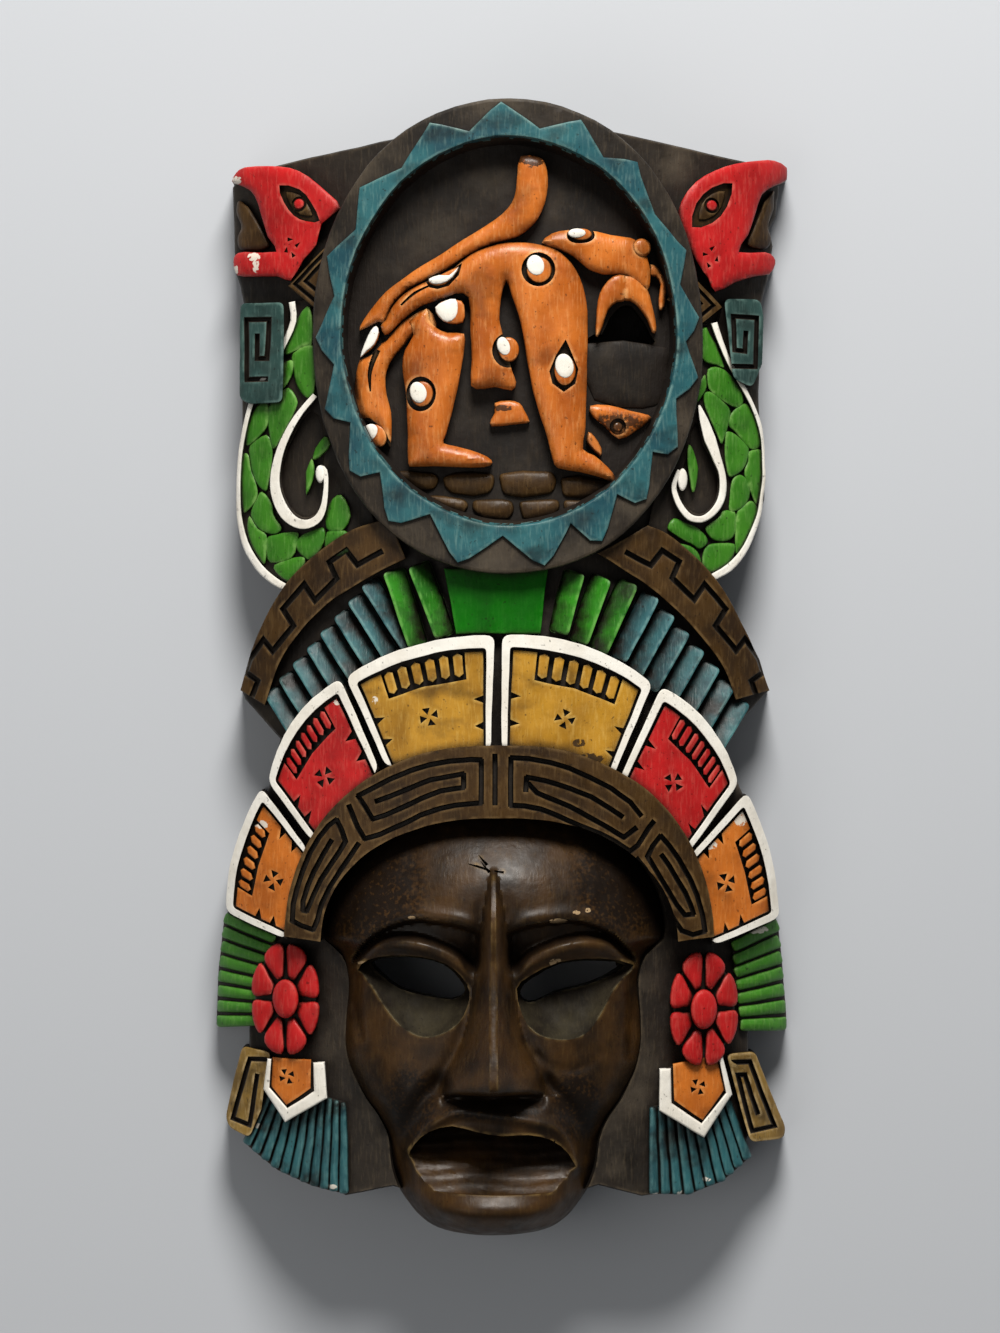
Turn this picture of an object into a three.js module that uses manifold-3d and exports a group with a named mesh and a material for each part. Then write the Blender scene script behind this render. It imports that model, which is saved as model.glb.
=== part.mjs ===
// A carved and painted wooden wall mask: a stylised face with open eyes and mouth under a panelled
// headdress, a round relief of a spotted big cat above it and a serpent at each side. It is all one
// piece, cut from a half-round block. Sizes are in millimetres: the flat back lies on z = 0, the
// face looks up along +z, and the top of the headdress is towards +y.

import * as THREE from "three";
import { mergeVertices } from "three/addons/utils/BufferGeometryUtils.js";
import Module from "manifold-3d";

const wasm = await Module();
wasm.setup();

// The half-round block: its section is half an ellipse, cut off at the mask's own half width
const BLOCK_HALF_WIDTH = 115;
const LOG_HALF_WIDTH = 122;
const LOG_RISE = 70;
const BOARD = 8;
const BEND_ERROR = 1;

// Tops of the carved levels above the back, before the round of the block is added to them
const LEVEL = {
  curlFloor: 8,
  recess: 8.8,
  body: 10.5,
  fan: 12,
  rock: 11.5,
  scale: 13.5,
  ray: 13,
  farLimb: 13.5,
  plate: 14,
  keyBlock: 14,
  border: 15,
  diamond: 15,
  rump: 16,
  fret: 16,
  curl: 16.5,
  pendantRim: 17,
  spiralBlock: 17,
  head: 18,
  limb: 18,
  flower: 19,
  rim: 22,
  tooth: 23.5,
  panelField: 20,
  panelFloor: 17,
  panelRim: 22,
  flowerCentre: 22.5,
  meander: 26,
};
const SKY = 200;
const BACK = 0;
const IN_BOARD = 3;

// Carving marks
const GROOVE = 1.5;
const GROOVE_DEPTH = 2.6;

// The round relief and its toothed rim
const DISC = { x: 2.6, y: 131.6, halfWidth: 77.6, halfHeight: 94, sides: 44 };
const RECESS = { x: 3, y: 133.6, halfWidth: 67, halfHeight: 77.2, sides: 40 };
const TOOTH_ANGLES = [
  92, 68, 48, 22, 5, -10, -28, -44, -61, -79, -105, -128, -145, -162, -180, -200, -220, -246,
];
const TOOTH_REACH = 0.975;
const TOOTH_VALLEY = 1.035;

// The bands over the face are parts of ellipses about one centre
const HOOD = { x: -1, y: -112, outerX: 85.5, outerY: 82, innerX: 71, innerY: 53.4 };
const HOOD_START = 3;
const HOOD_END = 177;

// The face: rows run down it, and its sections are worked out from stations of [y, value]
const FACE_COLUMNS = 20;
const NOSE_COLUMNS = 3;
const FACE_ROWS = [
  { until: -96, rows: 5 },
  { until: -121, rows: 8 },
  { until: -172, rows: 6 },
  { until: -225.6, rows: 11 },
];
const FACE_TOP = -56;
const FACE_AXIS = -3.1;
const FACE_ROUND = 2.5;
const FACE_SWELL = 0.62;
const FACE_WIDTH = [
  [-225.6, 9], [-224, 17], [-221.6, 24], [-217.6, 29.5], [-212, 34], [-206, 38], [-198, 41], [-186, 42.6],
  [-178, 46], [-170, 51.6], [-159, 57.2], [-149.7, 59.4], [-140, 59.4], [-122.8, 58.6], [-113, 62],
  [-107, 69],
  [-92, 67], [-77, 56], [-66, 40], [-60, 26], [-56, 8],
];
const FACE_MIDDLE = [
  [-225.6, 50], [-221.6, 68], [-218, 74], [-213.6, 77], [-208, 76], [-200, 74], [-186, 75], [-168, 74],
  [-150, 73], [-130, 72], [-115, 74], [-104, 77], [-95, 78], [-82, 76], [-70, 72], [-62, 67], [-56, 62],
];
const FACE_SIDE = [
  [-225.6, 42], [-210, 44], [-190, 45], [-150, 44], [-120, 44], [-105, 42], [-90, 44], [-70, 48], [-56, 52],
];
const BROW_LINE = [[0, -106], [9, -104.5], [30, -99], [46, -104.2], [57, -115], [70, -120]];
const NOSE_HALF_WIDTH = [[-171, 20], [-165.6, 20], [-150, 15], [-130, 10], [-110, 7.2], [-90, 4], [-78, 1.5]];
const NOSE_HEIGHT = [[-171, 0], [-167.5, 22], [-162, 25], [-140, 20.5], [-110, 11], [-90, 5], [-78, 0]];
const NOSE_TOP = -78;
const NOSE_FOOT = -171;
const NOSE_RIDGE_SHARE = 0.3;

// Rolls and valleys of the face: the height of each, and half of its width
const BROW_ROLL = { above: 3, height: 1.5, width: 4 };
const BROW_CUT = { below: 3.4, depth: 5, width: 2.6 };
const LID_ROLL = { below: 10, height: 2.5, width: 3.4 };
const UPPER_LIP = { y: -179, droop: 10, halfWidth: 37, power: 2.2, above: 3.5, height: 4, width: 3.6 };
const LOWER_LIP = { y: -213, height: 3, width: 5 };
const CREASE = { depth: 3, width: 3.4, line: [[-214, 40], [-200, 38.5], [-186, 36], [-174, 29], [-168, 21]] };

const FACE_PAINT = new THREE.MeshStandardMaterial({ color: 0x2e2014, roughness: 0.45, metalness: 0 });

// Geometry helpers

function solidOf(geometry) {
  const plain = geometry.index ? geometry : geometry.clone();
  plain.deleteAttribute("normal");
  plain.deleteAttribute("uv");
  const merged = mergeVertices(plain, 1e-4);
  return new wasm.Manifold(
    new wasm.Mesh({
      numProp: 3,
      vertProperties: new Float32Array(merged.attributes.position.array),
      triVerts: new Uint32Array(merged.index.array),
    }),
  );
}

function joined(solids) {
  return solids.reduce((sum, solid) => sum.add(solid));
}

// A flat-topped form: an outline of [x, y] corners, raised from one height to another. Its underside
// may slope, by a rise worked out for each corner.
function slab(outline, top, bottom = IN_BOARD, rise = () => 0) {
  const turning = THREE.ShapeUtils.area(outline.map(([x, y]) => new THREE.Vector2(x, y)));
  const corners = turning < 0 ? [...outline].reverse() : outline;
  const shape = new THREE.Shape(corners.map(([x, y]) => new THREE.Vector2(x, y)));
  const geometry = new THREE.ExtrudeGeometry(shape, { depth: top - bottom, bevelEnabled: false, steps: 1 });
  geometry.translate(0, 0, bottom);
  const place = geometry.attributes.position;
  for (let i = 0; i < place.count; i += 1) {
    const z = place.getZ(i);
    if (z < top - 1e-3) place.setZ(i, z + rise(place.getX(i), place.getY(i)));
  }
  return solidOf(geometry);
}

// Points of a smooth line through a few corners
function smooth(points, closed, perSpan) {
  const corners = points.map(([x, y]) => new THREE.Vector3(x, y, 0));
  const line = new THREE.CatmullRomCurve3(corners, closed, "centripetal");
  const spans = closed ? points.length : points.length - 1;
  const sampled = line.getPoints(spans * perSpan).map((p) => [p.x, p.y]);
  return closed ? sampled.slice(0, -1) : sampled;
}

// The outline of a strip along a line, with mitred corners, as wide at each end as the widths say
function strip(line, startWidth, endWidth = startWidth) {
  const direction = (i) => {
    const dx = line[i + 1][0] - line[i][0];
    const dy = line[i + 1][1] - line[i][1];
    const length = Math.hypot(dx, dy);
    return [dx / length, dy / length];
  };
  const last = line.length - 1;
  const left = [];
  const right = [];
  line.forEach(([x, y], i) => {
    const into = direction(Math.max(i - 1, 0));
    const out = direction(Math.min(i, last - 1));
    const length = Math.hypot(into[0] + out[0], into[1] + out[1]);
    const along = [(into[0] + out[0]) / length, (into[1] + out[1]) / length];
    const mitre = Math.max(0.6, along[0] * into[0] + along[1] * into[1]);
    const half = (startWidth + ((endWidth - startWidth) * i) / last) / 2 / mitre;
    left.push([x - along[1] * half, y + along[0] * half]);
    right.push([x + along[1] * half, y - along[0] * half]);
  });
  return [...right, ...left.reverse()];
}

function groove(line, floor, width = GROOVE) {
  return slab(strip(line, width), SKY, floor);
}

function oval(x, y, halfWidth, halfHeight, sides, tilt = 0, power = 1) {
  const turn = (tilt * Math.PI) / 180;
  return Array.from({ length: sides }, (_, i) => {
    const angle = (2 * Math.PI * i) / sides;
    const across = Math.sign(Math.cos(angle)) * Math.abs(Math.cos(angle)) ** power * halfWidth;
    const up = Math.sign(Math.sin(angle)) * Math.abs(Math.sin(angle)) ** power * halfHeight;
    return [
      x + across * Math.cos(turn) - up * Math.sin(turn),
      y + across * Math.sin(turn) + up * Math.cos(turn),
    ];
  });
}

// A point of a four-sided patch whose first edge bulges by a rise, at u along it and v across it
function patchPoint({ corners, rise, innerRise }, u, v) {
  const [a, b, c, d] = corners;
  const mix = (p, q, t) => [p[0] + (q[0] - p[0]) * t, p[1] + (q[1] - p[1]) * t];
  const bulged = (p, q, t, height) => {
    const [x, y] = mix(p, q, t);
    const length = Math.hypot(q[0] - p[0], q[1] - p[1]);
    const lift = 4 * t * (1 - t) * height;
    return [x - ((q[1] - p[1]) / length) * lift, y + ((q[0] - p[0]) / length) * lift];
  };
  return mix(bulged(a, b, u, rise), bulged(d, c, u, innerRise), v);
}

// The value at y between stations, on a smooth curve through them
function stationed(at, stations) {
  const last = stations.length - 1;
  const rising = stations[0][0] < stations[last][0] ? stations : [...stations].reverse();
  if (at <= rising[0][0]) return rising[0][1];
  if (at >= rising[last][0]) return rising[last][1];
  const i = rising.findIndex(([place]) => place > at) - 1;
  const slope = (k) => {
    const lo = rising[Math.max(k - 1, 0)];
    const hi = rising[Math.min(k + 1, last)];
    return (hi[1] - lo[1]) / (hi[0] - lo[0]);
  };
  const [x0, y0] = rising[i];
  const [x1, y1] = rising[i + 1];
  const span = x1 - x0;
  const t = (at - x0) / span;
  return (
    (2 * t ** 3 - 3 * t ** 2 + 1) * y0 +
    (t ** 3 - 2 * t ** 2 + t) * span * slope(i) +
    (3 * t ** 2 - 2 * t ** 3) * y1 +
    (t ** 3 - t ** 2) * span * slope(i + 1)
  );
}

function smoothstep(from, to, at) {
  const t = Math.min(1, Math.max(0, (at - from) / (to - from)));
  return t * t * (3 - 2 * t);
}

function bump(at, centre, width) {
  return Math.exp(-(((at - centre) / width) ** 2));
}

// What is carved: every part gives its raised forms and its cuts

const raised = [];
const cuts = [];

// The board behind the relief
function carveBoard() {
  const crown = [
    [-107, 160], [-107.8, 193.6], [-104, 199], [-93.4, 200.8], [-35.4, 212.4], [3, 214], [41.4, 214.4],
    [97.4, 203.2], [112, 200], [111.4, 190], [110.2, 181.6], [107.4, 176.4], [109, 170], [107, 157],
    [104.2, 147], [103, 112], [104, 72], [97, 46], [85, 36],
  ];
  const waist = [
    [92, 26], [97.4, 15.6], [103.4, 3.6], [107.4, -8.4], [103, -13], [87, -30], [96.5, -50], [109, -99],
    [111, -143],
    [98.8, -145], [98.8, -154], [111, -186], [99, -187],
  ];
  const foot = [
    [95, -198], [75.4, -208], [56, -210], [38.6, -205.6], [30, -208], [-34, -208], [-43, -206], [-62, -210],
  ];
  const left = [
    [-100, -189], [-103, -184], [-101, -153], [-101, -143], [-112, -142], [-109, -98], [-93, -46],
    [-88.6, -28],
    [-103, -12], [-104.4, -8], [-98.6, 11.6], [-91.8, 25.6], [-84.6, 34], [-98, 43], [-104, 66],
    [-103.4, 146.4],
    [-105, 154],
  ];
  raised.push(slab([...crown, ...waist, ...foot, ...left], BOARD, BACK));
}

// The toothed rim and the sunk floor of the round relief
function carveDisc() {
  const { x, y, halfWidth, halfHeight, sides } = DISC;
  raised.push(slab(oval(x, y, halfWidth, halfHeight, sides, 0, 0.95), LEVEL.rim, BACK));
  const at = (degrees, ring, share) => {
    const angle = (degrees * Math.PI) / 180;
    const [across, up] = [ring.halfWidth * share, ring.halfHeight * share];
    return [ring.x + across * Math.cos(angle), ring.y + up * Math.sin(angle)];
  };
  const star = TOOTH_ANGLES.flatMap((angle, i) => {
    const next = TOOTH_ANGLES[(i + 1) % TOOTH_ANGLES.length] - (i + 1 === TOOTH_ANGLES.length ? 360 : 0);
    return [at(angle, DISC, TOOTH_REACH), at((angle + next) / 2, RECESS, TOOTH_VALLEY)];
  });
  raised.push(slab(star.reverse(), LEVEL.tooth));
  const floor = oval(RECESS.x, RECESS.y, RECESS.halfWidth, RECESS.halfHeight, RECESS.sides);
  cuts.push(slab(floor, SKY, LEVEL.recess));
}

// The big cat in the round relief: it is added after the floor is sunk
function carveCat() {
  const rump = [
    [-55.8, 137.6], [-59, 120], [-59, 108], [-57.4, 100.4], [-50.6, 98.8], [-44, 89.6], [-43.8, 104],
    [-41.5, 117.6],
    [-35.4, 131.6], [-28, 142], [-14, 148], [-10, 164], [-20, 165.5], [-28.6, 162.8], [-40.6, 155.6],
    [-48.6, 147.6],
  ];
  const tail = [
    [-28.6, 162.8], [-16.6, 168.8], [-4.6, 173.6], [1.4, 178.8], [5.4, 185.6], [7, 193.6], [7.8, 203],
    [17.4, 203.6],
    [18.6, 193.6], [17.8, 185.6], [15.4, 179.6], [10, 174], [3.4, 171.6], [-8.6, 168.4], [-18, 163.5],
  ];
  const torso = [
    [-18.6, 162.8], [-8.6, 167.6], [3.4, 169.2], [11.4, 168.8], [19.4, 165.6], [25.4, 160.4], [29.4, 153.6],
    [33.4, 139.6], [33.4, 107.6], [32.6, 87.6], [39.4, 81.6], [44.2, 77.6], [44.6, 74], [29.4, 78],
    [20.6, 79.2],
    [18.6, 95.6], [11.4, 113.6], [7.4, 131.6], [1.4, 155.6], [-0.6, 145.6], [0.2, 133], [5.4, 126],
    [5.4, 109.6], [-11.8, 109.6], [-12.6, 147.6], [-20, 150],
  ];
  const hindLeg = [
    [-28.6, 142.8], [-34.6, 140.4], [-37.4, 129.6], [-39, 117], [-38.6, 107.6], [-36.6, 82.4], [-24.6, 81.2],
    [-8.6, 80.4], [-4.6, 82.8], [-12.6, 88.4], [-25.4, 88.8], [-22.6, 103.6], [-17.8, 115.6], [-15.8, 123.6],
    [-15.8, 134], [-20.6, 136],
  ];
  const head = [
    [15.4, 169.6], [21.8, 173.2], [35.4, 172.8], [43.4, 171.6], [51.4, 167.6], [55.4, 162.8], [59.4, 153.6],
    [61.4, 143.6], [61.8, 132.4], [59.4, 132.4], [52.2, 149.6], [48.2, 151.6], [46.6, 146.4], [42.6, 143.6],
    [38.2, 132.8], [36.2, 133.6], [36.6, 143.6], [38.6, 150.8], [44.2, 156.4], [35.4, 156.8], [23.4, 165],
  ];
  const mouth = [[38.2, 131], [62, 131], [59.4, 141.6], [55.4, 148.8], [48.2, 149.6], [41.4, 141.6]];
  const farLeg = [[-1.8, 105.6], [8.2, 106], [11, 97.6], [5, 95.6], [-3.8, 97.2]];
  const farPaw = [[34.2, 104.4], [57.4, 104.4], [60.2, 98.8], [49.4, 90.8], [41.4, 91.6], [35.4, 97.6]];
  const toe = [[34.6, 94.8], [40.2, 88.8], [40.6, 83.6], [35.4, 86.8]];
  const farJaw = [[58.6, 162.8], [64.2, 155.6], [65, 149.6], [62.6, 142.8]];
  return [
    slab(rump, LEVEL.rump),
    slab(tail, LEVEL.rump + 1),
    slab(torso, LEVEL.limb),
    slab(hindLeg, LEVEL.limb + 0.5),
    slab(head, LEVEL.limb),
    slab(oval(55.4, 167.6, 3.6, 3.6, 8), LEVEL.limb + 1.5),
    slab(mouth, LEVEL.farLimb),
    slab(farLeg, LEVEL.farLimb),
    slab(farPaw, LEVEL.farLimb),
    slab(oval(46.2, 96.8, 3, 3, 8), LEVEL.farLimb + 1),
    slab(toe, LEVEL.farLimb + 0.5),
    slab(strip(farJaw, 3), LEVEL.rump - 1),
    ...carveRocks(),
  ];
}

// Rounded rocks under the cat's paws, in two rows
function carveRocks() {
  const rocks = [[-36.6, 74.6, 10, 3.8], [-13, 72.6, 10.4, 5], [9.4, 73.2, 12, 4.4], [34.8, 71.6, 9.4, 4]];
  const lower = [[-22, 65.5, 9, 3.6], [-3, 63.6, 10, 3.6], [18, 63.8, 11, 3.6]];
  return [...rocks, ...lower].map(([x, y, halfWidth, halfHeight]) =>
    slab(oval(x, y, halfWidth, halfHeight, 8, 0, 0.5), LEVEL.rock),
  );
}

// The cat's spots: raised buttons, each in a ring cut round it
const SPOTS = [
  { x: 14.2, y: 160.4, halfWidth: 4.6, halfHeight: 5, level: LEVEL.limb },
  { x: -24.6, y: 156, halfWidth: 4.8, halfHeight: 2.8, level: LEVEL.rump },
  { x: -21, y: 140.8, halfWidth: 6, halfHeight: 5.2, level: LEVEL.limb },
  { x: -51.8, y: 130.8, halfWidth: 2.8, halfHeight: 6.4, tilt: -25, level: LEVEL.rump },
  { x: -31.6, y: 108.6, halfWidth: 4.6, halfHeight: 5, level: LEVEL.limb },
  { x: 1, y: 126.4, halfWidth: 3.8, halfHeight: 5.4, level: LEVEL.limb },
  { x: 24.4, y: 119.6, halfWidth: 5, halfHeight: 7, level: LEVEL.limb },
  { x: -51, y: 94.8, halfWidth: 3.4, halfHeight: 5, tilt: 30, level: LEVEL.rump - 3 },
  { x: 30.2, y: 172.4, halfWidth: 3.8, halfHeight: 2, level: LEVEL.limb },
];

function spotOutline(spot, extra) {
  return oval(spot.x, spot.y, spot.halfWidth + extra, spot.halfHeight + extra, 8, spot.tilt || 0);
}

// A serpent's head in profile, with a sunk almond eye and a raised pupil
function carveHead(outline, eye, pupil) {
  raised.push(slab(outline, LEVEL.head, BACK));
  cuts.push(slab(eye, SKY, LEVEL.head - GROOVE_DEPTH));
  raised.push(slab(oval(...pupil, 2.6, 2.6, 8), LEVEL.head));
}

const LEFT_HEAD = [
  [-107.8, 195.6], [-106.2, 198.8], [-102.6, 200.8], [-93.4, 200.8], [-84.6, 199.6], [-76.6, 195.6],
  [-68.6, 188.8],
  [-63.8, 182.8], [-71.4, 176.8], [-73.4, 168.4], [-78.6, 162.8], [-83.8, 154.8], [-89.4, 156.8],
  [-103.4, 157.2],
  [-106.6, 158.8], [-107.4, 162.8], [-106.6, 165.6], [-102.6, 166.8], [-89.8, 166.4], [-93.4, 172.8],
  [-97.4, 185.6], [-100.6, 191.6], [-105.4, 194.4],
];
const LEFT_EYE = [
  [-88.6, 192.8], [-86.6, 185.6], [-82.6, 180.4], [-77.4, 178], [-72.2, 178], [-75.8, 185.6], [-80.6, 190.8],
];
const RIGHT_HEAD = [
  [70.2, 178.8], [71.4, 185.6], [77.4, 193.6], [85.4, 198.8], [93.4, 201.6], [103.4, 203.2], [109.4, 203.6],
  [114.6, 201.2], [114.6, 196.4], [109.4, 193.6], [104.2, 189.6], [101.4, 181.6], [98.6, 173.6],
  [94.6, 166.4],
  [105.4, 166.8], [109, 165.2], [109.8, 162.4], [107.4, 158.4], [101.4, 157.2], [93.4, 154.4], [85.4, 150.4],
  [82.6, 155.6], [77.4, 162.8], [73.4, 171.6],
];
const RIGHT_EYE = [[75.8, 175.6], [77.5, 185], [84, 191.5], [92.2, 193.6], [90, 184], [84, 177.5]];

// A rectangular block with a squared spiral cut into it
function carveSpiralBlock(outline, spiral, level) {
  raised.push(slab(outline, level, BACK));
  cuts.push(groove(spiral, level - GROOVE_DEPTH));
}

// A serpent's body: a bed, a rim along its outside, a curl and rounded scales between them
function carveSerpent({ bed, rim, curl, curlWidths, hollow, scales }) {
  raised.push(slab(bed, LEVEL.body, BACK));
  raised.push(slab(strip(smooth(rim, false, 2), 2.8), LEVEL.border, BACK));
  cuts.push(slab(hollow, SKY, LEVEL.curlFloor));
  late.push(slab(strip(smooth(curl, false, 2), ...curlWidths), LEVEL.curl));
  scales.forEach(([x, y, width, height, tilt]) => {
    raised.push(slab(oval(x, y, width / 2, height / 2, 6, tilt, 0.6), LEVEL.scale));
  });
}

// Forms that stand in a hollow and are added after the cuts
const late = [];

const LEFT_SERPENT = {
  bed: [
    [-83, 147], [-85.5, 137], [-93.5, 125], [-101.8, 107.6], [-105.4, 87.6], [-105.8, 65], [-101.4, 47.6],
    [-94, 38], [-84, 31], [-70, 46], [-50, 58], [-60, 90], [-72, 130], [-76, 147],
  ],
  rim: [
    [-83, 146.4], [-85.5, 137], [-93.5, 125], [-101.8, 107.6], [-105.2, 87.6], [-105.6, 65], [-101.4, 47.6],
    [-94, 38], [-85.4, 32.4],
  ],
  curl: [
    [-74.2, 109.6], [-82, 99], [-88.6, 86.6], [-91.8, 71.6], [-88.6, 60.6], [-82.6, 56.4], [-74.6, 61],
    [-70.2, 71.6], [-70.4, 81], [-73.6, 78.6],
  ],
  curlWidths: [3.4, 2.4],
  hollow: [[-73.5, 106], [-86.6, 86.6], [-90, 71.6], [-84, 58.8], [-76, 60], [-71.4, 71.6], [-70, 90]],
  scales: [
    [-80.2, 134.4, 8, 15, -20], [-79, 119.2, 7.2, 19, 0], [-89.8, 115.6, 8, 17, -42],
    [-87.8, 100.8, 8.8, 22, -12],
    [-98.2, 98.8, 8, 17, -18], [-96.2, 82.4, 7.2, 21, 0], [-101.4, 73.6, 5.4, 22, 0], [-94.2, 62, 8, 16, 25],
    [-98.2, 51.6, 6.4, 17, 20], [-87.8, 48.8, 11, 9.6, 0], [-76.2, 49.6, 9.6, 10.4, 15],
    [-83.8, 40, 12, 7.2, -10],
    [-65, 61.2, 8, 10.4, -20],
  ],
};
const RIGHT_SERPENT = {
  bed: [
    [84.6, 138], [92.6, 119.6], [101.4, 103.6], [105.4, 85], [105.4, 68], [101.4, 53.6], [93.4, 40.4],
    [82.6, 35],
    [70, 46], [58, 56], [66, 90], [76, 138],
  ],
  rim: [
    [84.6, 137.6], [92.6, 119.6], [101, 103.6], [105.2, 85], [105.2, 68], [101.2, 53.6], [93.4, 41],
    [82.6, 36],
  ],
  curl: [
    [78.2, 105.6], [83.4, 92.6], [88.2, 77.6], [88.4, 66.6], [82.6, 60], [76, 59.6], [70.2, 66.4], [69, 73],
    [72.6, 79],
  ],
  curlWidths: [4, 2.6],
  hollow: [[78.4, 102], [85.8, 80], [87, 70], [82, 61.8], [76, 61.6], [71.4, 68], [70, 90]],
  scales: [
    [83.4, 127.6, 6.4, 14.4, 22], [87.8, 112.4, 10.4, 13.6, 15], [85.4, 100.4, 6.4, 17, 22],
    [97, 96.8, 8.8, 17, 25],
    [93.4, 86.4, 8, 15.2, 5], [101, 76.8, 6.2, 20, 0], [94.2, 70, 7.6, 13.6, -8], [97.4, 56.8, 7.2, 20, -20],
    [87.4, 56.8, 12, 11.2, -15], [74.6, 53.2, 12.8, 7, -25], [85.4, 44.4, 12, 9.6, 0],
  ],
};

// Nested triangles of grooves between a serpent's head and the round relief
function carveDiamond([a, tip, b]) {
  raised.push(slab([a, tip, b, [Math.sign(tip[0]) * 66, (a[1] + b[1]) / 2]], LEVEL.diamond));
  [0.25, 0.6].forEach((share) => {
    const centre = [Math.sign(tip[0]) * 71, (a[1] + b[1]) / 2];
    const inwards = ([x, y]) => [x + (centre[0] - x) * share, y + (centre[1] - y) * share];
    cuts.push(groove([inwards(a), inwards(tip), inwards(b)], LEVEL.diamond - GROOVE_DEPTH, 1.2));
  });
}

// A curved band of stepped fret work at each side, above the rays
const FRET_STEPS = 5;

function carveFret(outer, inner) {
  const outerLine = smooth(outer, false, 4);
  const innerLine = smooth(inner, false, 4);
  raised.push(slab([...outerLine, ...innerLine.reverse()], LEVEL.fret, BACK));
  innerLine.reverse();
  const at = (along, across) => {
    const place = along * (outerLine.length - 1);
    const i = Math.min(Math.floor(place), outerLine.length - 2);
    const t = place - i;
    const mix = (line, k) => line[i][k] + (line[i + 1][k] - line[i][k]) * t;
    return [0, 1].map((k) => mix(outerLine, k) + (mix(innerLine, k) - mix(outerLine, k)) * across);
  };
  const wave = [at(0.02, 0.24)];
  for (let step = 0; step < FRET_STEPS; step += 1) {
    const from = 0.02 + (0.94 * step) / FRET_STEPS;
    const to = 0.02 + (0.94 * (step + 1)) / FRET_STEPS;
    const turn = from + (to - from) * 0.5;
    wave.push(at(turn, 0.24), at(turn, 0.66), at(to, 0.66), at(to, 0.24));
  }
  cuts.push(groove(wave, LEVEL.fret - GROOVE_DEPTH, 1.3));
}

const LEFT_FRET = {
  outer: [[-104.6, -8.4], [-98.6, 11.6], [-84.6, 35.6], [-62.6, 53.6], [-44, 60]],
  inner: [[-94.6, -14.4], [-87, 6], [-72, 24], [-57, 34], [-38, 44]],
};
const RIGHT_FRET = {
  outer: [[107.4, -8.4], [99, 12], [85.4, 35.6], [68, 52], [58, 57]],
  inner: [[93.4, -12], [87, 3], [72, 21], [57, 34], [38, 46]],
};

// Ribs that fan out between the fret band and the headdress panels, each from its tip to its base
const RIBS = [
  { tips: [[-53, 35], [-92, -8]], bases: [[-36, 8], [-76, -34]], count: 8, width: 5.6 },
  { tips: [[-43.8, 39.6], [-34.6, 41.6]], bases: [[-34.6, 10], [-22.6, 14]], count: 2, width: 6 },
  { tips: [[28.6, 38], [50.6, 36]], bases: [[23.4, 14], [38.6, 8]], count: 3, width: 6 },
  { tips: [[59.4, 30], [96, -12]], bases: [[46, 4], [84, -32]], count: 7, width: 6 },
];

function carveRibs({ tips, bases, count, width }) {
  const mix = ([a, b], t) => [a[0] + (b[0] - a[0]) * t, a[1] + (b[1] - a[1]) * t];
  for (let i = 0; i < count; i += 1) {
    const t = count > 1 ? i / (count - 1) : 0;
    raised.push(slab(strip([mix(tips, t), mix(bases, t)], width, width * 0.8), LEVEL.ray));
  }
}

// One panel of the headdress: a raised rim round a field with a comb cut along its outer edge
const PANELS = [
  { corners: [[-61.8, -3.2], [-2.6, 13.2], [-4.2, -32], [-45.5, -39]], rise: 5, innerRise: 2, bars: 6 },
  { corners: [[0.2, 13.6], [60.2, -5.6], [43.8, -43], [0.2, -32]], rise: 6, innerRise: 2, bars: 6 },
  {
    corners: [[-93.4, -44.8], [-64.2, -3.6], [-48.5, -39.5], [-74.5, -69]],
    rise: 5.5, innerRise: 2, bars: 7,
  },
  { corners: [[63.8, -6.8], [94.2, -46], [73.8, -73.6], [46.2, -44.5]], rise: 5.5, innerRise: 2, bars: 7 },
  {
    corners: [[-110.6, -97.2], [-96.2, -47.2], [-77, -71.5], [-85.5, -107.4]],
    rise: 3.4, innerRise: 1, bars: 6,
  },
  { corners: [[97.8, -49.2], [111, -99.6], [84, -109.6], [74.2, -75]], rise: 3.4, innerRise: 1, bars: 6 },
];
const RIM_ALONG = 3.2;
const RIM_OUTER = 4.6;
const FIELD_GAP = 1.3;

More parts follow.
